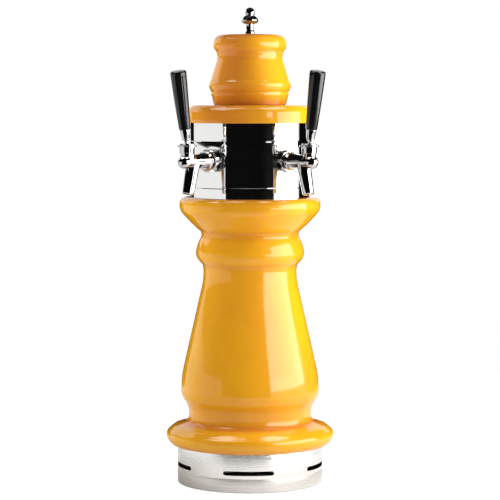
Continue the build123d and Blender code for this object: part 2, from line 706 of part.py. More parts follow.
def lever():
    body = Sphere(BALL_R) + disc(NECK_PIN_R, 0, NECK_L)
    cone_h = LEVER_COLLAR_S - NECK_L
    body += Pos(0, 0, NECK_L + cone_h / 2) * Cone(NECK_PIN_R, LEVER_COLLAR_R, cone_h)
    body += disc(LEVER_COLLAR_R, LEVER_COLLAR_S, FERRULE_S)
    body += disc(STUD_R, FERRULE_S, FERRULE_S + STUD_L)
    body += disc(TONGUE_PIN_R, -TONGUE_L, 0)
    body += Pos(0, 0, -TONGUE_L) * Sphere(TONGUE_TIP_R)
    return lever_place() * body


def ferrule():
    top = FERRULE_S + FERRULE_L
    body = Pos(0, 0, FERRULE_S + FERRULE_L / 2) * Cone(FERRULE_LOW_R, FERRULE_TOP_R, FERRULE_L)
    body += disc(INSERT_R, top, top + INSERT_L)
    body -= disc(STUD_R + RUN, FERRULE_S, FERRULE_S + STUD_L + SLIP)
    return lever_place() * body


def handle():
    low = FERRULE_S + FERRULE_L
    top = low + GRIP_L
    body = Pos(0, 0, low + GRIP_L / 2) * Cone(GRIP_LOW_R, GRIP_TOP_R, GRIP_L)
    rims = body.edges().filter_by(GeomType.CIRCLE).sort_by(Axis.Z)
    body = fillet(rims[-1], GRIP_TOP_ROUND)
    body = fillet(body.edges().filter_by(GeomType.CIRCLE).sort_by(Axis.Z)[0], GRIP_LOW_ROUND)
    body -= disc(INSERT_R + RUN, low, low + INSERT_L + SLIP)
    return lever_place() * body


# ---- Tap: valve ----
def valve_shaft():
    piston_r = BORE_R - RUN
    front_x = SLOT_X + PISTON_AHEAD
    back_x = front_x - PISTON_L
    body = rod_x(SHAFT_R, SHAFT_NUT_X - SHAFT_TAIL, back_x)
    body += rod_x(SEAL_SHOULDER_R, SEAL_FRONT_X, SEAL_FRONT_X + SEAL_SHOULDER_L)
    body += rod_x(piston_r, back_x, front_x)
    half = TONGUE_TIP_R + SLOT_GAP
    mouth = make_face(Polyline((-half, SLOT_FLOOR_Z), (half, SLOT_FLOOR_Z), (half, SLOT_MOUTH_Z),
                               (half + SLOT_FLARE, BORE_R), (-half, BORE_R), close=True))
    return body - Pos(SLOT_X, 0, 0) * extrude(Plane.XZ * mouth, half, both=True)


def valve_seal():
    body = rod_x(SEAL_R, SEAL_FRONT_X - SEAL_T, SEAL_FRONT_X)
    return body - rod_x(SHAFT_R + RUN, SEAL_FRONT_X - SEAL_T, SEAL_FRONT_X)


def shaft_nut():
    body = hex_x(SHAFT_NUT_AF, SHAFT_NUT_X, SHAFT_NUT_X + SHAFT_NUT_T)
    return body - rod_x(SHAFT_R + RUN, SHAFT_NUT_X, SHAFT_NUT_X + SHAFT_NUT_T)


# ---- Assembly ----
TOWER_PIECES = (
    base_gasket, base_flange, riser_ring, foot_gasket, tie_bar, tie_bar_screws, tie_rod, jam_nut,
    ceramic_body, lower_band_gasket, faucet_band, upper_band_gasket, ceramic_cap, finial_washer,
    finial,
)
TAP_PIECES = (
    saddle_washer, inner_saddle, shank, shank_nut, coupling_nut, coupling_gasket, tail_nut,
    tail_washer, tailpiece, product_tube, faucet_body, bonnet, ball_washer, friction_washer, lever,
    ferrule, handle, valve_shaft, valve_seal, shaft_nut,
)


def write(name, shape):
    export_step(shape, f"parts/{name}.step")


def main():
    os.makedirs("parts", exist_ok=True)
    for piece in TOWER_PIECES:
        write(piece.__name__, piece())
    for piece in TAP_PIECES:
        shape = piece()
        for side, azimuth in TAPS:
            write(f"{piece.__name__}_{side}", tap_place(azimuth) * shape)


main()
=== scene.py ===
"""Two-tap ceramic draft tower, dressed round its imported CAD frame."""
import json
import logging
import math
from dataclasses import dataclass
from enum import Enum

import bmesh
import bpy
from mathutils import Matrix, Vector


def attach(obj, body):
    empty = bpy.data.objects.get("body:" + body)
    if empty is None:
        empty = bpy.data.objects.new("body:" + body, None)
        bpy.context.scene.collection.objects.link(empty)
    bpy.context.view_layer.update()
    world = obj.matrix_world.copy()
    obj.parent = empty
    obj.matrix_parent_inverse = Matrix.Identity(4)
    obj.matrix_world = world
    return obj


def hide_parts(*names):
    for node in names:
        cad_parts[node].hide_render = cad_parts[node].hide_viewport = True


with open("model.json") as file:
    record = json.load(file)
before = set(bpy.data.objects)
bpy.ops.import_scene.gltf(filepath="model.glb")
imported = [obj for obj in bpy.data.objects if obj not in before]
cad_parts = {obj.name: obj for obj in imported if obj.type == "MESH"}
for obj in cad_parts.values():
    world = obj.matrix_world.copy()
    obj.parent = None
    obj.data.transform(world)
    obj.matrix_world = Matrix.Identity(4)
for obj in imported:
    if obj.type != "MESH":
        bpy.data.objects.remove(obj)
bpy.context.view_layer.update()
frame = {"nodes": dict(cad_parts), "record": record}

log = logging.getLogger("tower")

Colour = tuple[float, float, float]
Sections = tuple[tuple[float, float, float], ...]
Mesh = bmesh.types.BMesh
Material = bpy.types.Material
Socket = bpy.types.NodeSocket

MM = 0.001                         # Metres in a millimetre.
WELD = 0.001                       # Points nearer than this, in millimetres, are one.
QUARTER_RISE = 1 - math.sqrt(0.5)  # A quarter circle's rise over its chord, at radius 1.
WHITE = (1.0, 1.0, 1.0, 1.0)
EVEN: Colour = (1.0, 1.0, 1.0)     # A pattern that isn't drawn out along any axis.
# Near-black painted shade for the insides of the base rings.
PAINTED_RING_SHADE: Colour = (0.022, 0.021, 0.020)
RING_SHADE_REACH = 0.1161            # The base rings carry painted shade inside this radius, in metres.


class Slot(Enum):
    """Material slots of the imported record."""

    GLAZE = "glaze"
    POLISHED = "polished"
    STEEL = "steel"
    CHROME = "chrome"
    HANDLE = "handle"
    RUBBER = "rubber"
    TUBE = "tube"


class Grain(Enum):
    """How a metal surface was finished."""

    ROLLED = "rolled sheet, mirror polished"
    TURNED = "turned on a lathe, fine lines round the axis"
    CAST = "cast, buffed and plated"
    DRAWN = "drawn bar, satin"


class Cut(Enum):
    """Ways to join a solid with a tool."""

    TAKE_AWAY = "DIFFERENCE"
    JOIN = "UNION"


# ---------------------------------------------------------------------------
# Materials
# ---------------------------------------------------------------------------
class Nodes:
    """A shader tree that is put together one node at a time."""

    def __init__(self, owner: Material | bpy.types.World, output: str) -> None:
        """Starts an empty tree.

        Args:
            owner: The material or world that the tree is for.
            output: Kind of its output node.
        """
        owner.use_nodes = True
        self.tree = owner.node_tree
        self.tree.nodes.clear()
        self.output = self.node(output).inputs["Surface"]

    def node(self, kind: str, **values: float | tuple) -> bpy.types.Node:
        """Adds a node.

        Args:
            kind: The kind of shader node.
            **values: Constant values of its inputs, by name.

        Returns:
            The node.
        """
        made = self.tree.nodes.new("ShaderNode" + kind)
        for name, value in values.items():
            made.inputs[name.replace("_", " ")].default_value = value
        return made

    def link(self, source: Socket, target: Socket) -> None:
        """Joins two sockets."""
        self.tree.links.new(source, target)


class Shader(Nodes):
    """The node tree of a finish on the tower, round one principled surface."""

    def __init__(self, name: str, **values: float) -> None:
        """Starts the finish.

        Args:
            name: The material's name.
            **values: Constant values on the surface's own sockets, by name.
        """
        self.material = bpy.data.materials.new(name)
        super().__init__(self.material, "OutputMaterial")
        self.surface = self.node("BsdfPrincipled", **values)
        self.link(self.surface.outputs["BSDF"], self.output)
        self.place = self.node("TexCoord").outputs["Object"]

    def cover(self, colour: Socket, rough: Socket) -> None:
        """Gives the surface its colour and roughness."""
        self.link(colour, self.surface.inputs["Base Color"])
        self.link(rough, self.surface.inputs["Roughness"])

    def noise(self, scale: float, detail: float = 2.0, stretch: Colour = EVEN) -> Socket:
        """Adds noise over the object's own coordinates.

        Args:
            scale: Features to a metre.
            detail: Octaves of finer noise.
            stretch: Scale along each axis, to draw the noise out into lines.

        Returns:
            The socket with the noise, from 0 to 1.
        """
        mapping = self.node("Mapping", Scale=stretch)
        self.link(self.place, mapping.inputs["Vector"])
        texture = self.node("TexNoise", Scale=scale, Detail=detail)
        self.link(mapping.outputs["Vector"], texture.inputs["Vector"])
        return texture.outputs["Fac"]

    def remap(self, value: Socket, low: float, high: float,
              start: float = 0.3, end: float = 0.7) -> Socket:
        """Stretches a value from start..end to low..high.

        Args:
            value: The socket to read.
            low: Result at start.
            high: Result at end.
            start: Input where the result is low.
            end: Input where the result is high.

        Returns:
            The socket with the result.
        """
        node = self.node("MapRange", From_Min=start, From_Max=end, To_Min=low,
                         To_Max=high)
        self.link(value, node.inputs["Value"])
        return node.outputs["Result"]

    def blend(self, factor: Socket, first: Colour | Socket,
              second: Colour | Socket) -> Socket:
        """Mixes two colours by a factor.

        Args:
            factor: 0 gives the first colour and 1 the second.
            first: A colour, or a socket with one.
            second: A colour, or a socket with one.

        Returns:
            The socket with the mixed colour.
        """
        node = self.node("Mix")
        node.data_type = "RGBA"
        self.link(factor, node.inputs["Factor"])
        for name, value in (("A", first), ("B", second)):
            target = [s for s in node.inputs if s.name == name and s.type == "RGBA"][0]
            if isinstance(value, bpy.types.NodeSocket):
                self.link(value, target)
            else:
                target.default_value = (*value, 1.0)
        return [s for s in node.outputs if s.type == "RGBA"][0]

    def off_axis(self) -> Socket:
        """Measures how far a point is from the object's Z axis.

        Returns:
            The socket with the distance, in metres.
        """
        flat = self.node("Mapping", Scale=(1.0, 1.0, 0.0))
        self.link(self.place, flat.inputs["Vector"])
        reach = self.node("VectorMath")
        reach.operation = "LENGTH"
        self.link(flat.outputs["Vector"], reach.inputs[0])
        return reach.outputs["Value"]

    def attribute(self, name: str) -> Socket:
        """Reads a number that was painted on the mesh's points.

        Args:
            name: The attribute's name.

        Returns:
            The socket with the number.
        """
        node = self.node("Attribute")
        node.attribute_name = name
        return node.outputs["Fac"]

    def bump(self, heights: list[tuple[Socket, float]]) -> None:
        """Raises the surface by one or more height fields.

        Args:
            heights: Pairs of a height socket, 0 to 1, and its depth in metres.
        """
        before = None
        for height, depth in heights:
            node = self.node("Bump", Distance=depth)
            self.link(height, node.inputs["Height"])
            if before:
                self.link(before, node.inputs["Normal"])
            before = node.outputs["Normal"]
        self.link(before, self.surface.inputs["Normal"])


@dataclass(frozen=True)
class Glaze:
    """Amber majolica glaze over white earthenware: thin and full in random clouds, pooled
    in hollows and runs, with the pooled colour also painted as shade on one side.
    """

    name: str = "amber glaze"
    thin: Colour = (0.86, 0.43, 0.009)
    full: Colour = (0.79, 0.365, 0.013)
    # Pooled glaze colour, also used as the colour of the painted shade on one side.
    pooled: Colour = (0.62, 0.205, 0.022)
    smoothest: float = 0.07
    roughest: float = 0.11
    ior: float = 1.46
    cloud_scale: float = 9.0
    streak_scale: float = 14.0
    streak_draw: Colour = (1.0, 1.0, 0.25)
    streak_depth: float = 0.35
    gloss_scale: float = 25.0
    wave_scale: float = 16.0
    wave_height: float = 0.0005
    pinhole_scale: float = 170.0
    pinhole_depth: float = 0.00002

    def material(self) -> Material:
        """Builds the node material.

        Returns:
            The material.
        """
        shader = Shader(self.name, IOR=self.ior)
        cloud = shader.remap(shader.noise(self.cloud_scale, 3.0), 0.0, 1.0, 0.35, 0.65)
        colour = shader.blend(cloud, self.full, self.thin)
        streak = shader.remap(shader.noise(self.streak_scale, 4.0, self.streak_draw),
                              0.0, self.streak_depth, 0.45, 0.75)
        colour = shader.blend(streak, colour, self.pooled)
        # Darker where glaze pools in hollows, and on one side as painted shade.
        colour = shader.blend(shader.attribute("pool_and_painted_shade"), colour, self.pooled)
        shader.cover(colour, shader.remap(shader.noise(self.gloss_scale), self.smoothest,
                                          self.roughest))
        shader.bump([(shader.noise(self.wave_scale, 1.0), self.wave_height),
                     (shader.noise(self.pinhole_scale), self.pinhole_depth)])
        return shader.material


@dataclass(frozen=True)
class Marks:
    """Noise that a way of finishing leaves, with its relief in metres."""

    scale: float
    detail: float
    stretch: Colour = EVEN
    relief: float = 0.0


# What each finish leaves: first where it shines more or less, then its relief.
MARKS: dict[Grain, tuple[Marks, tuple[Marks, ...]]] = {
    Grain.ROLLED: (Marks(60.0, 4.0, (0.3, 0.3, 3.0)), (Marks(11.0, 1.0, relief=0.0006),)),
    Grain.TURNED: (Marks(55.0, 5.0, (0.12, 0.12, 14.0)),
                   (Marks(70.0, 4.0, (0.1, 0.1, 16.0), 0.00006),
                    Marks(9.0, 1.0, relief=0.0003))),
    Grain.CAST: (Marks(90.0, 3.0), (Marks(75.0, 1.5, relief=0.00012),)),
    Grain.DRAWN: (Marks(120.0, 4.0), (Marks(500.0, 3.0, relief=0.00003),)),
}


@dataclass(frozen=True)
class Metal:
    """A bare or plated metal with the marks of how it was finished, and painted shade
    inside a radius where one is given.
    """

    name: str
    colour: Colour
    roughness: float
    grain: Grain
    # Painted shade: inside this radius from the axis, in metres, the colour turns
    # near-black; 0 for none.
    shade_inside: float = 0.0
    dulling: float = 0.93
    dull_scale: float = 30.0
    # Width over which the painted shade blends in, in metres.
    shade_edge: float = 0.0002

    def material(self) -> Material:
        """Builds the node material.

        Returns:
            The material.
        """
        shader = Shader(self.name, Metallic=1.0)
        dull = tuple(self.dulling * part for part in self.colour)
        colour = shader.blend(shader.noise(self.dull_scale, 3.0), dull, self.colour)
        # Painted shade inside the radius, so the ring's slots and bore read dark.
        if self.shade_inside:
            polished = shader.remap(shader.off_axis(), 0.0, 1.0,
                                    self.shade_inside - self.shade_edge, self.shade_inside)
            colour = shader.blend(polished, PAINTED_RING_SHADE, colour)
        shine, relief = MARKS[self.grain]
        wipes = shader.noise(shine.scale, shine.detail, shine.stretch)
        shader.cover(colour, shader.remap(wipes, 0.7 * self.roughness,
                                          1.5 * self.roughness))
        shader.bump([(shader.noise(mark.scale, mark.detail, mark.stretch), mark.relief)
                     for mark in relief])
        return shader.material


@dataclass(frozen=True)
class Moulded:
    """Moulded plastic or rubber, with a faint skin texture."""

    name: str
    colour: Colour
    worn: Colour
    roughness: float
    skin: float = 0.00002
    ior: float = 1.5
    patch_scale: float = 45.0
    gloss_scale: float = 140.0
    skin_scale: float = 420.0

    def material(self) -> Material:
        """Builds the node material.

        Returns:
            The material.
        """
        shader = Shader(self.name, IOR=self.ior)
        patches = shader.remap(shader.noise(self.patch_scale, 4.0), 0.0, 1.0, 0.4, 0.75)
        gloss = shader.noise(self.gloss_scale, 3.0)
        shader.cover(shader.blend(patches, self.colour, self.worn),
                     shader.remap(gloss, 0.8 * self.roughness, 1.25 * self.roughness))
        shader.bump([(shader.noise(self.skin_scale), self.skin)])
        return shader.material


class Palette:
    """Every finish on the tower, made once and shared."""

    def __init__(self) -> None:
        """Builds the materials."""
        finishes = {
            Slot.GLAZE: Glaze(),
            Slot.POLISHED: Metal("mirror steel band", (0.86, 0.855, 0.84), 0.035,
                                 Grain.ROLLED),
            Slot.STEEL: Metal("turned steel", (0.80, 0.79, 0.775), 0.17, Grain.TURNED),
            Slot.CHROME: Metal("chrome on brass", (0.62, 0.605, 0.60), 0.055, Grain.CAST),
            Slot.HANDLE: Moulded("black moulded grip", (0.004, 0.004, 0.0043),
                                 (0.008, 0.0076, 0.008), 0.13),
            Slot.RUBBER: Moulded("black rubber", (0.030, 0.030, 0.031),
                                 (0.060, 0.058, 0.056), 0.72, 0.00005),
            Slot.TUBE: Metal("drawn steel tube", (0.74, 0.74, 0.745), 0.22, Grain.DRAWN),
        }
        self.made = {slot: finish.material() for slot, finish in finishes.items()}
        # Both base rings are painted near-black inside as shade, so their slots read
        # dark.
        self.ring = Metal("turned steel ring, painted shade inside", (0.92, 0.905, 0.885), 0.24,
                          Grain.TURNED, RING_SHADE_REACH).material()
        self.flange = Metal("turned steel flange, painted shade inside", (0.74, 0.725, 0.69), 0.30,
                            Grain.TURNED, RING_SHADE_REACH).material()

    def material(self, slot: Slot) -> Material:
        """Gives the material of a slot."""
        return self.made[slot]


# ---------------------------------------------------------------------------
# Shapes
# ---------------------------------------------------------------------------
class Outline:
    """Half section of a turned piece, as (radius, height) in millimetres."""

    def __init__(self, radius: float, height: float) -> None:
        """Starts the outline at a point."""
        self.points: list[tuple[float, float]] = [(radius, height)]
        self.rounding: dict[int, float] = {}

    def to(self, radius: float, height: float, bulge: float = 0.0, soft: float = 0.0,
           steps: int = 10) -> "Outline":
        """Adds a straight or bulged run.

        Args:
            radius: End radius.
            height: End height.
            bulge: Rise of the arc over its chord, to the right of the run if positive.
            soft: Rounding of the corner at the run's end.
            steps: Pieces that an arc is made of.

        Returns:
            The outline itself, so that runs can be chained.
        """
        start = Vector(self.points[-1])
        end = Vector((radius, height))
        if bulge:
            chord = end - start
            half = chord.length / 2
            side = Vector((chord.y, -chord.x)).normalized() * (1 if bulge > 0 else -1)
            sweep = 4 * math.atan(abs(bulge) / half)
            reach = half / math.sin(sweep / 2)
            centre = (start + end) / 2 - side * (reach * math.cos(sweep / 2))
            first = math.atan2(*(start - centre).yx)
            turn = sweep if bulge > 0 else -sweep
            for step in range(1, steps):
                angle = first + turn * step / steps
                spot = centre + Vector((math.cos(angle), math.sin(angle))) * reach
                self.points.append((spot.x, spot.y))
        self.points.append((radius, height))
        if soft:
            self.rounding[len(self.points) - 1] = soft
        return self

    def rise(self, sections: Sections) -> "Outline":
        """Adds sections one on top of the other.

        Args:
            sections: End radius, height and bulge of each.

        Returns:
            The outline itself, so that runs can be chained.
        """
        for radius, height, bulge in sections:
            self.to(radius, self.points[-1][1] + height, bulge)
        return self

    def reach_at(self, height: float) -> float:
        """Finds the largest radius that the outline has at a height.

        Args:
            height: The height.

        Returns:
            The radius, or 0 above and below the outline.
        """
        found = 0.0
        for (r0, z0), (r1, z1) in zip(self.points, self.points[1:]):
            if min(z0, z1) <= height <= max(z0, z1) and z0 != z1:
                found = max(found, r0 + (r1 - r0) * (height - z0) / (z1 - z0))
        return found

    def spun(self, steps: int = 144, closed: bool = True) -> Mesh:
        """Turns the outline about Z.

        Args:
            steps: Facets round the axis.
            closed: Whether the outline's end joins its start, as on a ring.

        Returns:
            A closed mesh in millimetres.
        """
        mesh = bmesh.new()
        spots = [mesh.verts.new((r, 0.0, z)) for r, z in self.points]
        for first, second in zip(spots, spots[1:]):
            mesh.edges.new((first, second))
        if closed:
            mesh.edges.new((spots[-1], spots[0]))
        marked = [(spots[index], soft) for index, soft in self.rounding.items()]
        for spot, soft in marked:
            bmesh.ops.bevel(mesh, geom=[spot], offset=soft, offset_type="OFFSET",
                            segments=4, profile=0.5, affect="VERTICES", material=-1,
                            clamp_overlap=True)
        bmesh.ops.spin(mesh, geom=[*mesh.verts, *mesh.edges], cent=(0, 0, 0),
                       axis=(0, 0, 1), dvec=(0, 0, 0), angle=2 * math.pi, steps=steps,
                       use_merge=True, use_duplicate=False)
        bmesh.ops.remove_doubles(mesh, verts=list(mesh.verts), dist=WELD)
        bmesh.ops.recalc_face_normals(mesh, faces=list(mesh.faces))
        return mesh


def soften(mesh: Mesh, width: float, segments: int = 3, angle: float = 40.0) -> None:
    """Rounds the edges that are sharper than an angle.

    Args:
        mesh: The mesh to change.
        width: Width of the rounding.
        segments: Faces across the rounding.
        angle: Edges below this angle, in degrees, are left.
    """
    limit = math.radians(angle)
    edges = [edge for edge in mesh.edges
             if edge.is_manifold and edge.calc_face_angle() > limit]
    bmesh.ops.bevel(mesh, geom=edges, offset=width, offset_type="OFFSET",
                    segments=segments, profile=0.5, affect="EDGES", material=-1,
                    clamp_overlap=True)


def drum(radius: float, low: float, high: float, segments: int = 48,
         place: Matrix | None = None) -> Mesh:
    """Makes a solid drum about Z, used as a tool.

    Args:
        radius: Its radius.
        low: Its lower end.
        high: Its upper end.
        segments: Facets round it.
        place: Where it goes.

    Returns:
        The closed mesh.
    """
    mesh = bmesh.new()
    bmesh.ops.create_cone(mesh, cap_ends=True, cap_tris=False, segments=segments,
                          radius1=radius, radius2=radius, depth=high - low,
                          matrix=Matrix.Translation((0, 0, (low + high) / 2)))
    if place is not None:
        mesh.transform(place)
    return mesh


def push(mesh: Mesh, vector: tuple[float, float, float]) -> None:
    """Draws a flat mesh out into a bar.

    Args:
        mesh: The mesh to change.
        vector: Where the drawn-out end goes.
    """
    made = bmesh.ops.extrude_face_region(mesh, geom=list(mesh.faces))
    end = [part for part in made["geom"] if isinstance(part, bmesh.types.BMVert)]
    bmesh.ops.translate(mesh, verts=end, vec=vector)


def stand(mesh: Mesh, name: str) -> bpy.types.Object:
    """Makes an object of a mesh and puts it in the scene.

    Args:
        mesh: The mesh. It is used up.
        name: Name of the object.

    Returns:
        The object.
    """
    data = bpy.data.meshes.new(name)
    mesh.to_mesh(data)
    mesh.free()
    made = bpy.data.objects.new(name, data)
    bpy.context.scene.collection.objects.link(made)
    return made


def carve(solid: Mesh, tools: list[Mesh], cut: Cut) -> Mesh:
    """Joins a solid with tools, or cuts them out of it.

    Args:
        solid: The mesh that is worked on. It is used up.
        tools: The meshes that work on it. They are used up.
        cut: What the tools do.

    Returns:
        The new mesh.
    """
    holders = [stand(mesh, "carving") for mesh in (solid, *tools)]
    for tool in holders[1:]:
        step = holders[0].modifiers.new("cut", "BOOLEAN")
        step.operation = cut.value
        step.solver = "EXACT"
        step.object = tool
    bpy.context.view_layer.update()
    evaluated = holders[0].evaluated_get(bpy.context.evaluated_depsgraph_get())
    result = bmesh.new()
    result.from_mesh(evaluated.to_mesh())
    evaluated.to_mesh_clear()
    for holder in holders:
        data = holder.data
        bpy.data.objects.remove(holder)
        bpy.data.meshes.remove(data)
    return result


@dataclass
class Workshop:
    """Turns finished meshes into pieces of the tower."""

    palette: Palette

    def piece(self, mesh: Mesh, name: str, nodes: tuple[str, ...], body: str, slot: Slot,
              place: Matrix | None = None, crease: float = 34.0,
              finish: Material | None = None) -> None:
        """Makes a piece from a mesh in millimetres and hangs it on its body.

        Args:
            mesh: The closed mesh. It is used up.
            name: Name of the piece.
            nodes: CAD nodes that it stands for.
            body: CAD body that it rides on.
            slot: Material slot of its finish.
            place: Where it goes in the tower, in millimetres.
            crease: Edges sharper than this, in degrees, stay crisp.
            finish: A finish of its own, where the slot's is not the one.
        """
        if place is not None:
            mesh.transform(place)
        mesh.transform(Matrix.Scale(MM, 4))
        made = stand(mesh, name)
        made.data.shade_smooth()
        made.data.set_sharp_from_angle(angle=math.radians(crease))
        made.data.materials.append(finish or self.palette.material(slot))
        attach(made, body)
        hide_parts(*nodes)
        log.info("%s: %d faces, stands for %s", name, len(made.data.polygons),
                 ", ".join(nodes))

    def dress_nodes(self) -> None:
        """Gives every CAD node that stays its procedural finish."""
        slots = {row["node"]: row["material_slot"] for row in frame["record"]["subparts"]}
        for name, node in frame["nodes"].items():
            material = self.palette.material(Slot(slots[name]))
            if node.material_slots:
                for holder in node.material_slots:
                    holder.material = material
            else:
                node.data.materials.append(material)
            log.info("%s keeps its solid, finish %s", name, slots[name])


# ---------------------------------------------------------------------------
# Base
# ---------------------------------------------------------------------------
@dataclass
class BaseRings:
    """Lower flange ring and slotted riser ring."""

    shop: Workshop
    outer: float = 116.6
    wall: float = 3.2
    lift: float = 0.6
    seam: float = 22.4
    top: float = 61.2
    floor_top: float = 6.6
    throat: float = 62.0
    gasket_outer: float = 110.2
    gasket_inner: float = 100.8
    gasket_top: float = 2.0
    bolt_circle: float = 180.0
    bolt_hole: float = 4.0
    bolts: int = 4
    screw_reach: float = 84.0
    screw_hole: float = 3.05
    shelf_inner: float = 92.6
    shelf: float = 4.0
    lip_outer: float = 95.6
    lip_top: float = 67.2
    spigot_outer: float = 113.2
    spigot_inner: float = 110.6
    spigot_low: float = 16.4
    spigot_top: float = 25.4
    slots: int = 5
    slot_length: float = 79.76
    slot_height: float = 7.0
    slot_middle: float = 31.5
    slot_start: float = 6.0
    slot_reach: float = 30.0
    drill: tuple[float, float] = (-5.0, 15.0)

    def flange(self) -> None:
        """Makes the lower ring with its floor, hose throat and bolt holes."""
        inner = self.outer - self.wall
        outline = (
            Outline(self.throat, self.lift)
            .to(self.gasket_inner, self.lift, soft=0.2)
            .to(self.gasket_inner, self.gasket_top)
            .to(self.gasket_outer, self.gasket_top)
            .to(self.gasket_outer, self.lift, soft=0.2)
            .to(self.outer, self.lift, soft=1.2)
            .to(self.outer, self.seam, soft=0.35)
            .to(inner, self.seam, soft=0.2)
            .to(inner, self.floor_top)
            .to(self.throat, self.floor_top, soft=0.4)
        )
        tools = []
        for index in range(self.bolts):
            spin = Matrix.Rotation(2 * math.pi * (index + 0.5) / self.bolts, 4, "Z")
            spot = spin @ Matrix.Translation((self.bolt_circle / 2, 0, 0))
            tools.append(drum(self.bolt_hole, *self.drill, place=spot))
        for side in (-1, 1):
            spot = Matrix.Translation((side * self.screw_reach, 0, 0))
            tools.append(drum(self.screw_hole, *self.drill, place=spot))
        mesh = carve(outline.spun(192), tools, Cut.TAKE_AWAY)
        self.shop.piece(mesh, "flange_ring", ("base_flange",), "tower", Slot.STEEL,
                        finish=self.shop.palette.flange)

    def slot_tool(self) -> Mesh:
        """Makes the round-ended bar that cuts one slot, pointing to the front.

        Returns:
            The closed mesh.
        """
        half = self.slot_height / 2
        mesh = bmesh.new()
        bmesh.ops.create_circle(mesh, cap_ends=True, segments=32, radius=half,
                                matrix=Matrix.Rotation(math.pi / 2, 4, "X"))
        reach = self.slot_length / 2 - half
        for spot in mesh.verts:
            if abs(spot.co.x) > WELD:
                spot.co.x += math.copysign(reach, spot.co.x)
            spot.co.y = -self.outer - self.slot_start
        push(mesh, (0, self.slot_reach, 0))
        bmesh.ops.translate(mesh, verts=list(mesh.verts), vec=(0, 0, self.slot_middle))
        bmesh.ops.recalc_face_normals(mesh, faces=list(mesh.faces))
        return mesh

    def riser(self) -> None:
        """Makes the upper ring with its shelf, lip, spigot and slots."""
        inner = self.outer - self.wall
        outline = (
            Outline(inner, self.top - self.shelf)
            .to(inner, self.spigot_top)
            .to(self.spigot_inner, self.spigot_top, soft=0.3)
            .to(self.spigot_inner, self.spigot_low, soft=0.3)
            .to(self.spigot_outer, self.spigot_low, soft=0.5)
            .to(self.spigot_outer, self.seam)
            .to(self.outer, self.seam, soft=0.35)
            .to(self.outer, self.top, soft=0.8)
            .to(self.lip_outer, self.top)
            .to(self.lip_outer, self.lip_top, soft=0.6)
            .to(self.shelf_inner, self.lip_top, soft=0.6)
            .to(self.shelf_inner, self.top - self.shelf, soft=0.4)
        )
        tools = []
        for index in range(self.slots):
            tool = self.slot_tool()
            tool.transform(Matrix.Rotation(2 * math.pi * index / self.slots, 4, "Z"))
            tools.append(tool)
        mesh = carve(outline.spun(240), tools, Cut.TAKE_AWAY)
        self.shop.piece(mesh, "slotted_ring", ("riser_ring",), "tower", Slot.STEEL,
                        finish=self.shop.palette.ring)

    def build(self) -> None:
        """Makes both rings."""
        self.flange()
        self.riser()


# ---------------------------------------------------------------------------
# Ceramic
# ---------------------------------------------------------------------------
SMOOTH_CREASE = 60.0   # Glazed edges below this, in degrees, are soft.
HOLLOW_SHARE = 0.35    # How pooled the glaze is in a full hollow.
SHADE_FALLOFF = 6           # How fast the painted shade on one side fades away from its darkest azimuth.


def pool_glaze_and_paint_shade(mesh: Mesh, outline: Outline, shade_depth: float, side: float, span: float = 7.0,
               depth: float = 2.6) -> None:
    """Paints how much glaze has pooled in the hollows, plus painted shade on one side.

    Args:
        mesh: The turned mesh, in millimetres.
        outline: Its outside profile.
        shade_depth: Strength of the painted shade on one side, 0 for none and 1 for the
            full pooled colour.
        side: Azimuth where the painted shade is darkest, in degrees from the front.
        span: Distance up and down that a hollow is measured over.
        depth: Hollow that counts as fully pooled.
    """
    # One number per point: pooling in hollows plus painted shade on one side.
    layer = mesh.verts.layers.float.new("pool_and_painted_shade")
    known: dict[float, float] = {}
    for spot in mesh.verts:
        height = round(spot.co.z, 2)
        if height not in known:
            here = outline.reach_at(height)
            above = outline.reach_at(height + span) or here
            below = outline.reach_at(height - span) or here
            hollow = ((above + below) / 2 - here) / depth
            known[height] = max(0.0, HOLLOW_SHARE * hollow)
        # Painted shade: the glaze darkens towards one azimuth and falls off round the
        # piece.
        turn = math.atan2(spot.co.x, -spot.co.y) - math.radians(side)
        side_shade = shade_depth * ((1.0 + math.cos(turn)) / 2) ** SHADE_FALLOFF
        spot[layer] = min(1.0, known[height] + side_shade)


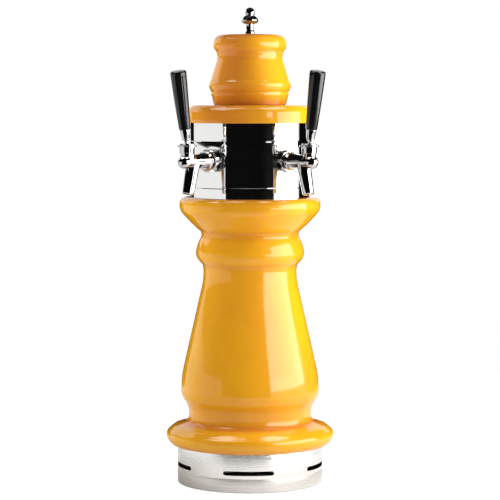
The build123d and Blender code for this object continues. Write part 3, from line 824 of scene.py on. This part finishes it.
@dataclass
class CeramicBody:
    """Turned column: foot, waist, cone, neck, collar bead and bowl."""

    shop: Workshop
    low: float = 62.6
    foot_edge: float = 125.0
    bore: float = 96.0
    rim: float = 459.0
    seat: float = 452.6
    seat_reach: float = 95.2
    seat_bore: float = 86.0
    # Painted shade: strength and azimuth of the darker side of the glaze.
    painted_shade: float = 0.28
    painted_shade_side: float = -15.0
    sections: Sections = (
        (128.6, 2.2, 0.5), (135.1, 13.4, 1.7), (129.5, 8.8, 1.3), (122.6, 5.4, 0.2),
        (103.6, 6.4, -0.2), (98.6, 14.2, -1.9), (105.8, 20.0, -1.6), (111.5, 16.0, 1.1),
        (107.1, 35.0, 0.6), (79.0, 124.0, 0.0), (74.7, 26.0, -0.7), (74.7, 7.0, 0.0),
        (76.9, 11.6, -0.75), (86.9, 16.9, 2.1), (77.8, 26.5, 1.55), (78.8, 8.0, -0.4),
        (106.6, 27.4, 0.8), (112.8, 13.6, 1.4), (112.6, 4.0, 0.0), (102.0, 10.0, 2.75),
    )
    inside: tuple[tuple[float, float], ...] = (
        (86.0, 442.6), (98.0, 442.6), (103.0, 436.0), (93.0, 422.0), (71.0, 403.0),
        (68.5, 395.0), (77.0, 369.0), (66.0, 352.0), (64.6, 334.0), (69.0, 308.0),
        (97.0, 184.0), (101.3, 149.0), (96.0, 136.0), (88.8, 114.0), (92.0, 106.0),
        (122.0, 84.0), (125.0, 78.0), (122.0, 72.6), (96.0, 72.6),
    )

    def build(self) -> None:
        """Makes the column."""
        outline = Outline(self.bore, self.low).to(self.foot_edge, self.low)
        outline.rise(self.sections).to(self.seat_reach, self.rim, soft=0.5)
        outline.to(self.seat_reach, self.seat).to(self.seat_bore, self.seat, soft=0.5)
        for radius, height in self.inside:
            outline.to(radius, height, soft=1.5 if radius != self.bore else 0.5)
        mesh = outline.spun(200)
        outside = Outline(self.foot_edge, self.low).rise(self.sections)
        pool_glaze_and_paint_shade(mesh, outside, self.painted_shade, self.painted_shade_side)
        self.shop.piece(mesh, "ceramic_column", ("ceramic_body",), "tower", Slot.GLAZE,
                        crease=SMOOTH_CREASE)


@dataclass
class CeramicCap:
    """Brim and urn, cast in one."""

    shop: Workshop
    low: float = 577.5
    edge: float = 98.8
    top: float = 717.4
    seat: float = 583.9
    seat_reach: float = 95.2
    seat_bore: float = 86.0
    rod_hole: float = 6.0
    # Painted shade: strength and azimuth of the darker side of the glaze.
    painted_shade: float = 0.9
    painted_shade_side: float = -29.0
    sections: Sections = (
        (100.0, 1.5, 0.33), (100.0, 16.3, 0.0), (91.0, 10.1, 1.4), (56.2, 0.2, 0.0),
        (58.0, 1.8, 0.5), (60.3, 11.4, 0.0), (61.5, 7.6, 0.9), (64.8, 7.0, 0.2),
        (64.2, 9.2, 1.0), (61.4, 6.9, -0.35), (53.6, 25.5, 0.0), (53.2, 12.5, -0.9),
        (55.2, 5.5, -0.5), (57.9, 4.5, 0.35), (58.1, 8.5, 0.5), (44.0, 11.4, 3.6),
    )
    inside: tuple[tuple[float, float], ...] = (
        (6.0, 709.4), (44.0, 709.4), (50.0, 703.6), (44.4, 688.0), (44.2, 674.0),
        (52.6, 650.0), (56.0, 643.0), (54.0, 614.0), (50.0, 597.4), (88.5, 597.4),
        (91.5, 594.5), (91.5, 591.9), (86.0, 591.9),
    )

    def build(self) -> None:
        """Makes the cap."""
        outline = Outline(self.seat_bore, self.seat).to(self.seat_reach, self.seat)
        outline.to(self.seat_reach, self.low, soft=0.4).to(self.edge, self.low)
        outline.rise(self.sections).to(self.rod_hole, self.top, soft=0.5)
        for radius, height in self.inside:
            outline.to(radius, height, soft=0.5)
        mesh = outline.spun(180)
        outside = Outline(self.edge, self.low).rise(self.sections)
        pool_glaze_and_paint_shade(mesh, outside, self.painted_shade, self.painted_shade_side)
        self.shop.piece(mesh, "ceramic_urn", ("ceramic_cap",), "tower", Slot.GLAZE,
                        crease=SMOOTH_CREASE)


# ---------------------------------------------------------------------------
# Band and finial
# ---------------------------------------------------------------------------
@dataclass
class FaucetBand:
    """Polished sheet cylinder with two rolled grooves."""

    shop: Workshop
    radius: float = 95.0
    wall: float = 1.5
    low: float = 454.0
    height: float = 128.5
    grooves: tuple[float, ...] = (475.7, 549.1)
    groove_half: float = 0.9
    groove_depth: float = 0.35
    shank_hole: float = 11.2
    shank_drill: tuple[float, float] = (60.0, 130.0)
    tap_height: float = 519.0

    def build(self, azimuths: tuple[float, ...]) -> None:
        """Makes the band.

        Args:
            azimuths: Where the taps go through it, in degrees from the front.
        """
        outline = Outline(self.radius - self.wall, self.low).to(self.radius, self.low)
        for groove in self.grooves:
            outline.to(self.radius, groove - self.groove_half, soft=0.35)
            outline.to(self.radius - self.groove_depth, groove, soft=0.3)
            outline.to(self.radius, groove + self.groove_half, soft=0.35)
        outline.to(self.radius, self.low + self.height)
        outline.to(self.radius - self.wall, self.low + self.height)
        tools = []
        for azimuth in azimuths:
            aim = tap_place(azimuth, self.tap_height) @ ALONG
            tools.append(drum(self.shank_hole, *self.shank_drill, 64, aim))
        mesh = carve(outline.spun(360), tools, Cut.TAKE_AWAY)
        self.shop.piece(mesh, "mirror_band", ("faucet_band",), "tower", Slot.POLISHED)


@dataclass
class Finial:
    """Chrome knob on top of the tie rod."""

    shop: Workshop
    low: float = 718.8
    bore: float = 5.05
    bore_depth: float = 15.0
    foot: float = 7.6
    ball: float = 7.6
    sections: Sections = (
        (7.6, 3.2, 0.0), (6.2, 3.0, -0.3), (6.2, 9.4, 0.0), (13.6, 6.2, 1.9),
        (6.3, 7.6, 1.1), (7.6, 4.8, 0.6),
    )

    def build(self) -> None:
        """Makes the knob."""
        bore_end = self.low + self.bore_depth
        outline = Outline(0.0, bore_end).to(self.bore, bore_end)
        outline.to(self.bore, self.low, soft=0.3).to(self.foot, self.low, soft=0.5)
        outline.rise(self.sections)
        crown = outline.points[-1][1] + self.ball
        outline.to(0.0, crown, self.ball * QUARTER_RISE, steps=16)
        mesh = outline.spun(96, closed=False)
        soften(mesh, 0.35)
        self.shop.piece(mesh, "knob", ("finial",), "tower", Slot.CHROME)


# ---------------------------------------------------------------------------
# Taps
# ---------------------------------------------------------------------------
ALONG = Matrix.Rotation(math.pi / 2, 4, "Y")


def tap_place(azimuth: float, height: float) -> Matrix:
    """Gives the frame of one tap, on the tower's axis: X out along the tap, Z up."""
    turn = Matrix.Rotation(math.radians(azimuth - 90), 4, "Z")
    return Matrix.Translation((0, 0, height)) @ turn


@dataclass
class Tap:
    """One faucet with its shank, nut, bonnet, lever and grip.

    The shank, nut and barrel are measured along the tap from the tower's axis, the bonnet
    up from the tap's axis, and the lever, ferrule and grip up the lever from its ball.
    """

    shop: Workshop
    side: str
    azimuth: float
    height: float = 519.0
    shank_bore: float = 5.0
    shank_radius: float = 11.0
    shank_in: float = 45.0
    flange_radius: float = 16.0
    flange_at: float = 97.8
    flange_end: float = 99.8
    nose_radius: float = 13.0
    nose_at: float = 103.6
    nose_end: float = 106.4
    nose_bore: float = 8.8
    nose_bore_in: float = 93.0
    nut_at: float = 100.0
    nut_length: float = 14.0
    nut_lip: float = 3.4
    nut_radius: float = 18.0
    nut_thread: float = 14.3
    nut_hole: float = 11.2
    nut_facets: int = 144
    nut_notches: int = 6
    notch_width: float = 3.4
    notch_depth: float = 1.7
    faucet_at: float = 107.6
    coupling: float = 14.1
    coupling_length: float = 6.6
    collar: float = 14.9
    collar_end: float = 10.0
    shoulder: float = 13.4
    shoulder_at: float = 11.7
    taper: float = 11.0
    taper_at: float = 145.0
    barrel: float = 10.5
    barrel_at: float = 153.0
    dome_at: float = 169.6
    spout_at: float = 147.5
    spout_lean: float = 15.7
    spout_length: float = 51.9
    spout_root: float = 10.8
    spout_waist: float = 10.3
    spout_waist_at: float = -18.0
    spout_end: float = 8.6
    mouth: float = 5.5
    mouth_depth: float = 30.0
    boss: float = 10.0
    boss_top: float = 13.2
    boss_length: float = 2.5
    thread: float = 9.8
    thread_low: float = 8.0
    thread_bore: float = 7.2
    thread_bore_low: float = 13.6
    thread_top: float = 22.0
    lever_at: float = 163.5
    lever_up: float = 20.0
    lean: float = 10.5
    open_lean: float = 34.5
    bonnet_bore: float = 9.85
    bonnet_skirt: float = 11.6
    bonnet_crown: float = 11.5
    bonnet_low: float = 13.4
    bonnet_roof: float = 26.2
    bonnet_top: float = 28.0
    brim: float = 15.0
    brim_low: float = 23.4
    brim_top: float = 25.4
    slot_half: float = 3.3
    slot_play: float = 0.25
    slot_height: float = 12.0
    ball: float = 6.0
    ball_bulge: float = 1.05
    tip: float = 2.7
    tongue: float = 2.0
    neck: float = 2.9
    neck_top: float = 12.3
    seat: float = 5.8
    seat_at: float = 13.8
    stud: float = 3.9
    stud_end: float = 27.0
    ferrule_at: float = 16.0
    ferrule_bore: float = 3.95
    ferrule_bore_end: float = 27.2
    ferrule_root: float = 6.2
    ferrule_top: float = 7.9
    pin: float = 5.0
    pin_end: float = 44.0
    grip_at: float = 30.6
    grip_root: float = 8.8
    grip_top: float = 12.6
    grip_end: float = 121.6
    grip_bore: float = 5.05
    grip_bore_end: float = 44.2

    def __post_init__(self) -> None:
        """Works out the tap's own frames."""
        self.place = tap_place(self.azimuth, self.height)
        self.pivot = self.place @ Matrix.Translation((self.lever_at, 0, self.lever_up))
        self.stick = self.pivot @ Matrix.Rotation(math.radians(self.lean), 4, "Y")

    def make(self, mesh: Mesh, node: str, place: Matrix, moves: bool = False,
             slot: Slot = Slot.CHROME) -> None:
        """Makes a piece of this side's tap, named for the CAD node that it stands for.

        Args:
            mesh: The closed mesh. It is used up.
            node: The node, without its side.
            place: Where it goes in the tower.
            moves: Whether it rides on the lever and not on the tower.
            slot: Material slot of its finish.
        """
        body = f"tap_lever_{self.side}" if moves else "tower"
        self.shop.piece(mesh, f"{node}_piece_{self.side}", (f"{node}_{self.side}",), body,
                        slot, place)

    def shank_piece(self) -> None:
        """Makes the shank with its flange and nose."""
        outline = (
            Outline(self.shank_bore, self.shank_in)
            .to(self.shank_radius, self.shank_in, soft=0.6)
            .to(self.shank_radius, self.flange_at)
            .to(self.flange_radius, self.flange_at, soft=0.4)
            .to(self.flange_radius, self.flange_end, soft=0.6)
            .to(self.shank_radius, self.flange_end)
            .to(self.shank_radius, self.nose_at)
            .to(self.nose_radius, self.nose_at, soft=0.3)
            .to(self.nose_radius, self.nose_end, soft=0.3)
            .to(self.nose_bore, self.nose_end, soft=0.2)
            .to(self.nose_bore, self.nose_bore_in)
            .to(self.shank_bore, self.nose_bore_in)
        )
        self.make(outline.spun(72), "shank", self.place @ ALONG)

    def coupling_nut_piece(self) -> None:
        """Makes the nut with its spanner notches."""
        end = self.nut_at + self.nut_length
        step = self.nut_at + self.nut_lip
        rings = (
            (self.nut_radius, self.nut_at, False), (self.nut_radius, step, False),
            (self.nut_radius, step, True), (self.nut_radius, end, True),
            (self.nut_thread, end, False), (self.nut_thread, step, False),
            (self.nut_hole, step, False), (self.nut_hole, self.nut_at, False),
        )
        mesh = bmesh.new()
        loops = []
        for radius, along, notched in rings:
            lift = Matrix.Translation((0, 0, along))
            made = bmesh.ops.create_circle(mesh, segments=self.nut_facets, radius=radius,
                                           matrix=lift)["verts"]
            if notched:
                self.notch(made)
            loops.append([edge for edge in mesh.edges if edge.verts[0] in made
                          and edge.verts[1] in made])
        for first, second in zip(loops, [*loops[1:], loops[0]]):
            bmesh.ops.bridge_loops(mesh, edges=[*first, *second])
        bmesh.ops.remove_doubles(mesh, verts=list(mesh.verts), dist=WELD)
        bmesh.ops.recalc_face_normals(mesh, faces=list(mesh.faces))
        soften(mesh, 0.45)
        self.make(mesh, "coupling_nut", self.place @ ALONG)

    def notch(self, ring: list[bmesh.types.BMVert]) -> None:
        """Draws a ring's points in where the nut's notches are.

        Args:
            ring: The points.
        """
        inwards = (self.nut_radius - self.notch_depth) / self.nut_radius
        pitch = 2 * math.pi / self.nut_notches
        for spot in ring:
            angle = math.atan2(spot.co.y, spot.co.x) - math.pi / 2
            off = abs((angle + pitch / 2) % pitch - pitch / 2)
            if off * self.nut_radius <= self.notch_width / 2 + WELD:
                spot.co.x *= inwards
                spot.co.y *= inwards

    def faucet_piece(self) -> None:
        """Makes the cast faucet: barrel, boss and spout grown together."""
        rear = self.faucet_at
        barrel = (
            Outline(0.0, rear)
            .to(self.coupling, rear)
            .to(self.coupling, rear + self.coupling_length)
            .to(self.collar, rear + self.coupling_length, soft=0.3)
            .to(self.collar, rear + self.collar_end, soft=0.9)
            .to(self.shoulder, rear + self.shoulder_at)
            .to(self.taper, self.taper_at, -0.5)
            .to(self.barrel, self.barrel_at)
            .to(self.barrel, self.dome_at)
            .to(0.0, self.dome_at + self.barrel, self.barrel * QUARTER_RISE, steps=16)
        ).spun(96, closed=False)
        barrel.transform(ALONG)
        low = -self.spout_length
        spout = (
            Outline(0.0, low + self.mouth_depth)
            .to(self.mouth, low + self.mouth_depth)
            .to(self.mouth, low, soft=0.4)
            .to(self.spout_end, low, soft=0.8)
            .to(self.spout_waist, self.spout_waist_at, 0.15)
            .to(self.spout_root, 0.0)
            .to(0.0, 0.0)
        ).spun(72, closed=False)
        spout.transform(Matrix.Translation((self.spout_at, 0, 0))
                        @ Matrix.Rotation(math.radians(-self.spout_lean), 4, "Y"))
        boss = drum(self.boss, 0.0, self.boss_top, 72)
        for spot in boss.verts:
            spot.co.x += self.lever_at - (0.0 if spot.co.x > 0 else self.boss_length)
        thread = (
            Outline(self.thread_bore, self.thread_bore_low)
            .to(self.thread, self.thread_low)
            .to(self.thread, self.thread_top, soft=0.4)
            .to(self.thread_bore, self.thread_top, soft=0.3)
        ).spun(72)
        thread.transform(Matrix.Translation((self.lever_at, 0, 0)))
        mesh = carve(barrel, [spout, boss, thread], Cut.JOIN)
        self.make(mesh, "faucet_body", self.place)

    def bonnet_piece(self) -> None:
        """Makes the bonnet with the slot that the lever swings in."""
        outline = (
            Outline(self.bonnet_bore, self.bonnet_low)
            .to(self.bonnet_skirt, self.bonnet_low, soft=0.5)
            .to(self.bonnet_skirt, self.brim_low)
            .to(self.brim, self.brim_low, soft=0.6)
            .to(self.brim, self.brim_top, soft=0.6)
            .to(self.bonnet_crown, self.brim_top)
            .to(self.bonnet_crown, self.bonnet_top, soft=1.3)
            .to(0.0, self.bonnet_top)
            .to(0.0, self.bonnet_roof)
            .to(self.bonnet_bore, self.bonnet_roof)
        )
        slot = bmesh.new()
        bmesh.ops.create_circle(slot, cap_ends=True, segments=24, radius=self.slot_half)
        push(slot, (0, 0, self.slot_height))
        low_lean = math.tan(math.radians(self.lean))
        high_lean = math.tan(math.radians(self.open_lean))
        for spot in slot.verts:
            lean = high_lean if spot.co.x > 0 else low_lean
            spot.co.x += math.copysign(self.slot_play, spot.co.x) + lean * spot.co.z
        bmesh.ops.recalc_face_normals(slot, faces=list(slot.faces))
        slot.transform(Matrix.Translation((0, 0, self.lever_up)))
        mesh = carve(outline.spun(96), [slot], Cut.TAKE_AWAY)
        place = self.place @ Matrix.Translation((self.lever_at, 0, 0))
        self.make(mesh, "bonnet", place)

    def lever_piece(self) -> None:
        """Makes the lever: tip, tongue, ball, neck, seat and stud."""
        tip_at = -self.lever_up
        tip_top = tip_at + math.sqrt(self.tip * self.tip - self.tongue * self.tongue)
        ball_low = -math.sqrt(self.ball * self.ball - self.tongue * self.tongue)
        ball_top = math.sqrt(self.ball * self.ball - self.neck * self.neck)
        outline = (
            Outline(0.0, tip_at - self.tip)
            .to(self.tip, tip_at, self.tip * QUARTER_RISE, steps=8)
            .to(self.tongue, tip_top, 0.3, steps=4)
            .to(self.tongue, ball_low)
            .to(self.ball, 0.0, self.ball_bulge, steps=12)
            .to(self.neck, ball_top, self.ball_bulge, steps=10)
            .to(self.neck, self.neck_top, soft=0.4)
            .to(self.seat, self.seat_at, soft=0.5)
            .to(self.seat, self.ferrule_at, soft=0.4)
            .to(self.stud, self.ferrule_at)
            .to(self.stud, self.stud_end, soft=0.5)
            .to(0.0, self.stud_end)
        )
        self.make(outline.spun(64, closed=False), "lever", self.stick, moves=True)

    def ferrule_piece(self) -> None:
        """Makes the chrome ferrule, with the pin that the grip stands on."""
        outline = (
            Outline(self.ferrule_bore, self.ferrule_at)
            .to(self.ferrule_root, self.ferrule_at, soft=0.4)
            .to(self.ferrule_top, self.grip_at, soft=0.5)
            .to(self.pin, self.grip_at)
            .to(self.pin, self.pin_end, soft=0.6)
            .to(0.0, self.pin_end)
            .to(0.0, self.ferrule_bore_end)
            .to(self.ferrule_bore, self.ferrule_bore_end)
        )
        self.make(outline.spun(72), "ferrule", self.stick, moves=True)

    def grip_piece(self) -> None:
        """Makes the black tapered grip."""
        outline = (
            Outline(self.grip_bore, self.grip_at)
            .to(self.grip_root, self.grip_at, soft=1.0)
            .to(self.grip_top, self.grip_end, 0.35, soft=3.4)
            .to(0.0, self.grip_end)
            .to(0.0, self.grip_bore_end)
            .to(self.grip_bore, self.grip_bore_end)
        )
        self.make(outline.spun(96), "handle", self.stick, moves=True,
                  slot=Slot.HANDLE)

    def build(self) -> None:
        """Makes the tap."""
        self.shank_piece()
        self.coupling_nut_piece()
        self.faucet_piece()
        self.bonnet_piece()
        self.lever_piece()
        self.ferrule_piece()
        self.grip_piece()


# ---------------------------------------------------------------------------
# Studio
# ---------------------------------------------------------------------------
@dataclass(frozen=True)
class Panel:
    """An upright soft light, placed round the tower."""

    name: str
    azimuth: float
    distance: float
    width: float
    height: float
    middle: float
    radiance: float
    mirrored: bool = True
    matt: bool = True

    def build(self, target: Vector) -> None:
        """Adds the light, aimed at a point.

        Args:
            target: The point.
        """
        data = bpy.data.lights.new(self.name, "AREA")
        data.shape = "RECTANGLE"
        data.size = self.width
        data.size_y = self.height
        data.energy = self.radiance * math.pi * self.width * self.height
        light = bpy.data.objects.new(self.name, data)
        turn = math.radians(self.azimuth)
        spot = Vector((math.sin(turn), -math.cos(turn), 0.0)) * self.distance
        spot.z = self.middle
        light.location = spot
        light.rotation_euler = (spot - target).to_track_quat("Z", "Y").to_euler()
        light.visible_camera = False
        light.visible_glossy = self.mirrored
        light.visible_diffuse = self.matt
        bpy.context.scene.collection.objects.link(light)


@dataclass(frozen=True)
class Flag:
    """A black card that shiny pieces mirror, so that they read against the pale room.

    It is an upright arc round the tower. A roof slopes from its top to above the tower's
    axis, and a foot lies flat at its lower edge, from that distance outwards.
    """

    name: str
    start: float
    end: float
    low: float = -0.3
    high: float = 0.56
    roof: float = 0.0
    foot: float = 0.0
    radius: float = 2.2
    roof_hole: float = 0.004

    def build(self, material: Material) -> None:
        """Adds the card.

        Args:
            material: The card's black.
        """
        mesh = bmesh.new()
        angle = math.radians(self.start)
        profile = [(self.radius, self.low), (self.radius, self.high)]
        if self.roof:
            profile.append((self.roof_hole, self.roof))
        if self.foot:
            profile.insert(0, (self.foot, self.low))
        east, south = math.sin(angle), math.cos(angle)
        spots = [mesh.verts.new((east * reach, -south * reach, height))
                 for reach, height in profile]
        edges = [mesh.edges.new(pair) for pair in zip(spots, spots[1:])]
        bmesh.ops.spin(mesh, geom=[*spots, *edges], cent=(0, 0, 0), axis=(0, 0, 1),
                       dvec=(0, 0, 0), angle=math.radians(self.end - self.start),
                       steps=64, use_merge=False, use_duplicate=False)
        card = stand(mesh, self.name)
        card.data.materials.append(material)
        card.visible_camera = False
        card.visible_diffuse = False
        card.visible_shadow = False
        card.visible_transmission = False


@dataclass
class Studio:
    """White room with a broad key light, fills, and black cards that only mirrors see."""

    lens: float = 153.0
    sensor: float = 36.0
    sight: float = 60.0
    distance: float = 3.4
    eye: float = 0.6185
    bearing: float = 1.2
    pitch: float = 4.118
    aim: float = 0.4
    ambient: float = 0.12
    floor_reach: float = 12.0
    floor_white: float = 0.88
    floor_glow: float = 0.68
    fade_start: float = 0.6
    fade_end: float = 1.6
    card_black: float = 0.004
    panels: tuple[Panel, ...] = (
        Panel("key_light", 74.0, 1.1, 1.6, 1.5, 0.72, 4.0, mirrored=False),
        Panel("key_sheen", 67.5, 1.1, 1.52, 0.78, 0.59, 6.2, matt=False),
        Panel("fill_light", -90.0, 1.7, 1.5, 1.8, 0.75, 3.5, mirrored=False),
        Panel("left_top", -80.0, 0.6, 0.8, 0.95, 1.8, 6.0, matt=False),
        Panel("right_top", 84.0, 0.55, 0.8, 0.6, 1.8, 7.0, matt=False),
        Panel("top_fill", 88.0, 0.75, 0.8, 0.6, 1.8, 4.8, mirrored=False),
        Panel("left_sheen", -121.0, 1.6, 0.7, 0.75, 1.2, 1.4, matt=False),
    )
    flags: tuple[Flag, ...] = (
        Flag("front_card", -45.0, 34.0), Flag("right_card", 109.0, 174.0, high=0.62),
        Flag("left_card", -176.0, -136.0, high=0.62),
        Flag("upper_card", -133.0, 150.0, low=0.56, high=1.5, roof=2.3),
        Flag("front_table", -55.0, 34.0, low=0.105, high=0.111, foot=0.55),
        Flag("rear_table", 109.0, 224.0, low=0.105, high=0.111, foot=0.55),
        Flag("tap_card", 22.0, 43.5, low=0.435, high=0.622, radius=0.4),
        Flag("crown_card", 0.0, 360.0, low=0.8, high=0.802, roof=0.806, radius=0.12),
    )

    def camera(self) -> None:
        """Sets the camera at the front, a little above the taps' height."""
        data = bpy.data.cameras.new("camera")
        data.lens = self.lens
        data.sensor_width = self.sensor
        data.clip_end = self.sight
        camera = bpy.data.objects.new("camera", data)
        turn = math.radians(self.bearing)
        east, south = math.sin(turn), math.cos(turn)
        camera.location = (east * self.distance, -south * self.distance, self.eye)
        camera.rotation_euler = (math.radians(90.0 - self.pitch), 0.0, turn)
        bpy.context.scene.collection.objects.link(camera)
        bpy.context.scene.camera = camera

    def world(self) -> None:
        """Makes the room white to the eye and to mirrors, and grey to matt surfaces."""
        world = bpy.data.worlds.new("white room")
        nodes = Nodes(world, "OutputWorld")
        mix = nodes.node("MixShader")
        path = nodes.node("LightPath")
        white = path.outputs["Is Camera Ray"]
        for ray in ("Is Glossy Ray", "Is Transmission Ray"):
            either = nodes.node("Math")
            either.operation = "MAXIMUM"
            nodes.link(white, either.inputs[0])
            nodes.link(path.outputs[ray], either.inputs[1])
            white = either.outputs["Value"]
        nodes.link(white, mix.inputs["Fac"])
        for socket, strength in ((1, self.ambient), (2, 1.0)):
            light = nodes.node("Background", Color=WHITE, Strength=strength)
            nodes.link(light.outputs["Background"], mix.inputs[socket])
        nodes.link(mix.outputs["Shader"], nodes.output)
        bpy.context.scene.world = world

    def floor_material(self) -> Material:
        """Makes a matt white floor that keeps soft shadows near the tower.

        Returns:
            The material.
        """
        material = bpy.data.materials.new("white floor")
        nodes = Nodes(material, "OutputMaterial")
        matt = nodes.node("BsdfDiffuse", Color=(*[self.floor_white] * 3, 1.0))
        lift = nodes.node("Emission", Color=WHITE)
        glow = nodes.node("Math")
        glow.operation = "MULTIPLY"
        glow.inputs[1].default_value = self.floor_glow
        nodes.link(nodes.node("LightPath").outputs["Is Camera Ray"], glow.inputs[0])
        nodes.link(glow.outputs["Value"], lift.inputs["Strength"])
        near = nodes.node("AddShader")
        nodes.link(matt.outputs["BSDF"], near.inputs[0])
        nodes.link(lift.outputs["Emission"], near.inputs[1])
        reach = nodes.node("VectorMath")
        reach.operation = "LENGTH"
        nodes.link(nodes.node("TexCoord").outputs["Object"], reach.inputs[0])
        fade = nodes.node("MapRange", From_Min=self.fade_start, From_Max=self.fade_end)
        nodes.link(reach.outputs["Value"], fade.inputs["Value"])
        mix = nodes.node("MixShader")
        far = nodes.node("Emission", Color=WHITE)
        nodes.link(fade.outputs["Result"], mix.inputs["Fac"])
        nodes.link(near.outputs["Shader"], mix.inputs[1])
        nodes.link(far.outputs["Emission"], mix.inputs[2])
        nodes.link(mix.outputs["Shader"], nodes.output)
        return material

    def floor(self) -> None:
        """Lays the floor."""
        mesh = bmesh.new()
        bmesh.ops.create_grid(mesh, x_segments=1, y_segments=1, size=self.floor_reach)
        ground = stand(mesh, "floor")
        ground.data.materials.append(self.floor_material())

    def card_material(self) -> Material:
        """Makes the black of the cards.

        Returns:
            The material.
        """
        material = bpy.data.materials.new("black card")
        nodes = Nodes(material, "OutputMaterial")
        black = nodes.node("BsdfPrincipled", Base_Color=(*[self.card_black] * 3, 1.0),
                           Roughness=1.0, Specular_IOR_Level=0.0)
        nodes.link(black.outputs["BSDF"], nodes.output)
        return material

    def build(self) -> None:
        """Sets everything up."""
        self.camera()
        self.world()
        self.floor()
        target = Vector((0.0, 0.0, self.aim))
        for panel in self.panels:
            panel.build(target)
        black = self.card_material()
        for flag in self.flags:
            flag.build(black)


def main() -> None:
    """Builds the studio and the tower."""
    logging.basicConfig(level=logging.INFO, format="%(name)s: %(message)s")
    bpy.context.scene.view_settings.view_transform = "Standard"
    Studio().build()
    shop = Workshop(Palette())
    shop.dress_nodes()
    BaseRings(shop).build()
    CeramicBody(shop).build()
    taps = (Tap(shop, "left", -35.0), Tap(shop, "right", 35.0))
    FaucetBand(shop).build(tuple(tap.azimuth for tap in taps))
    CeramicCap(shop).build()
    Finial(shop).build()
    for tap in taps:
        tap.build()


if __name__ == "__main__":
    main()
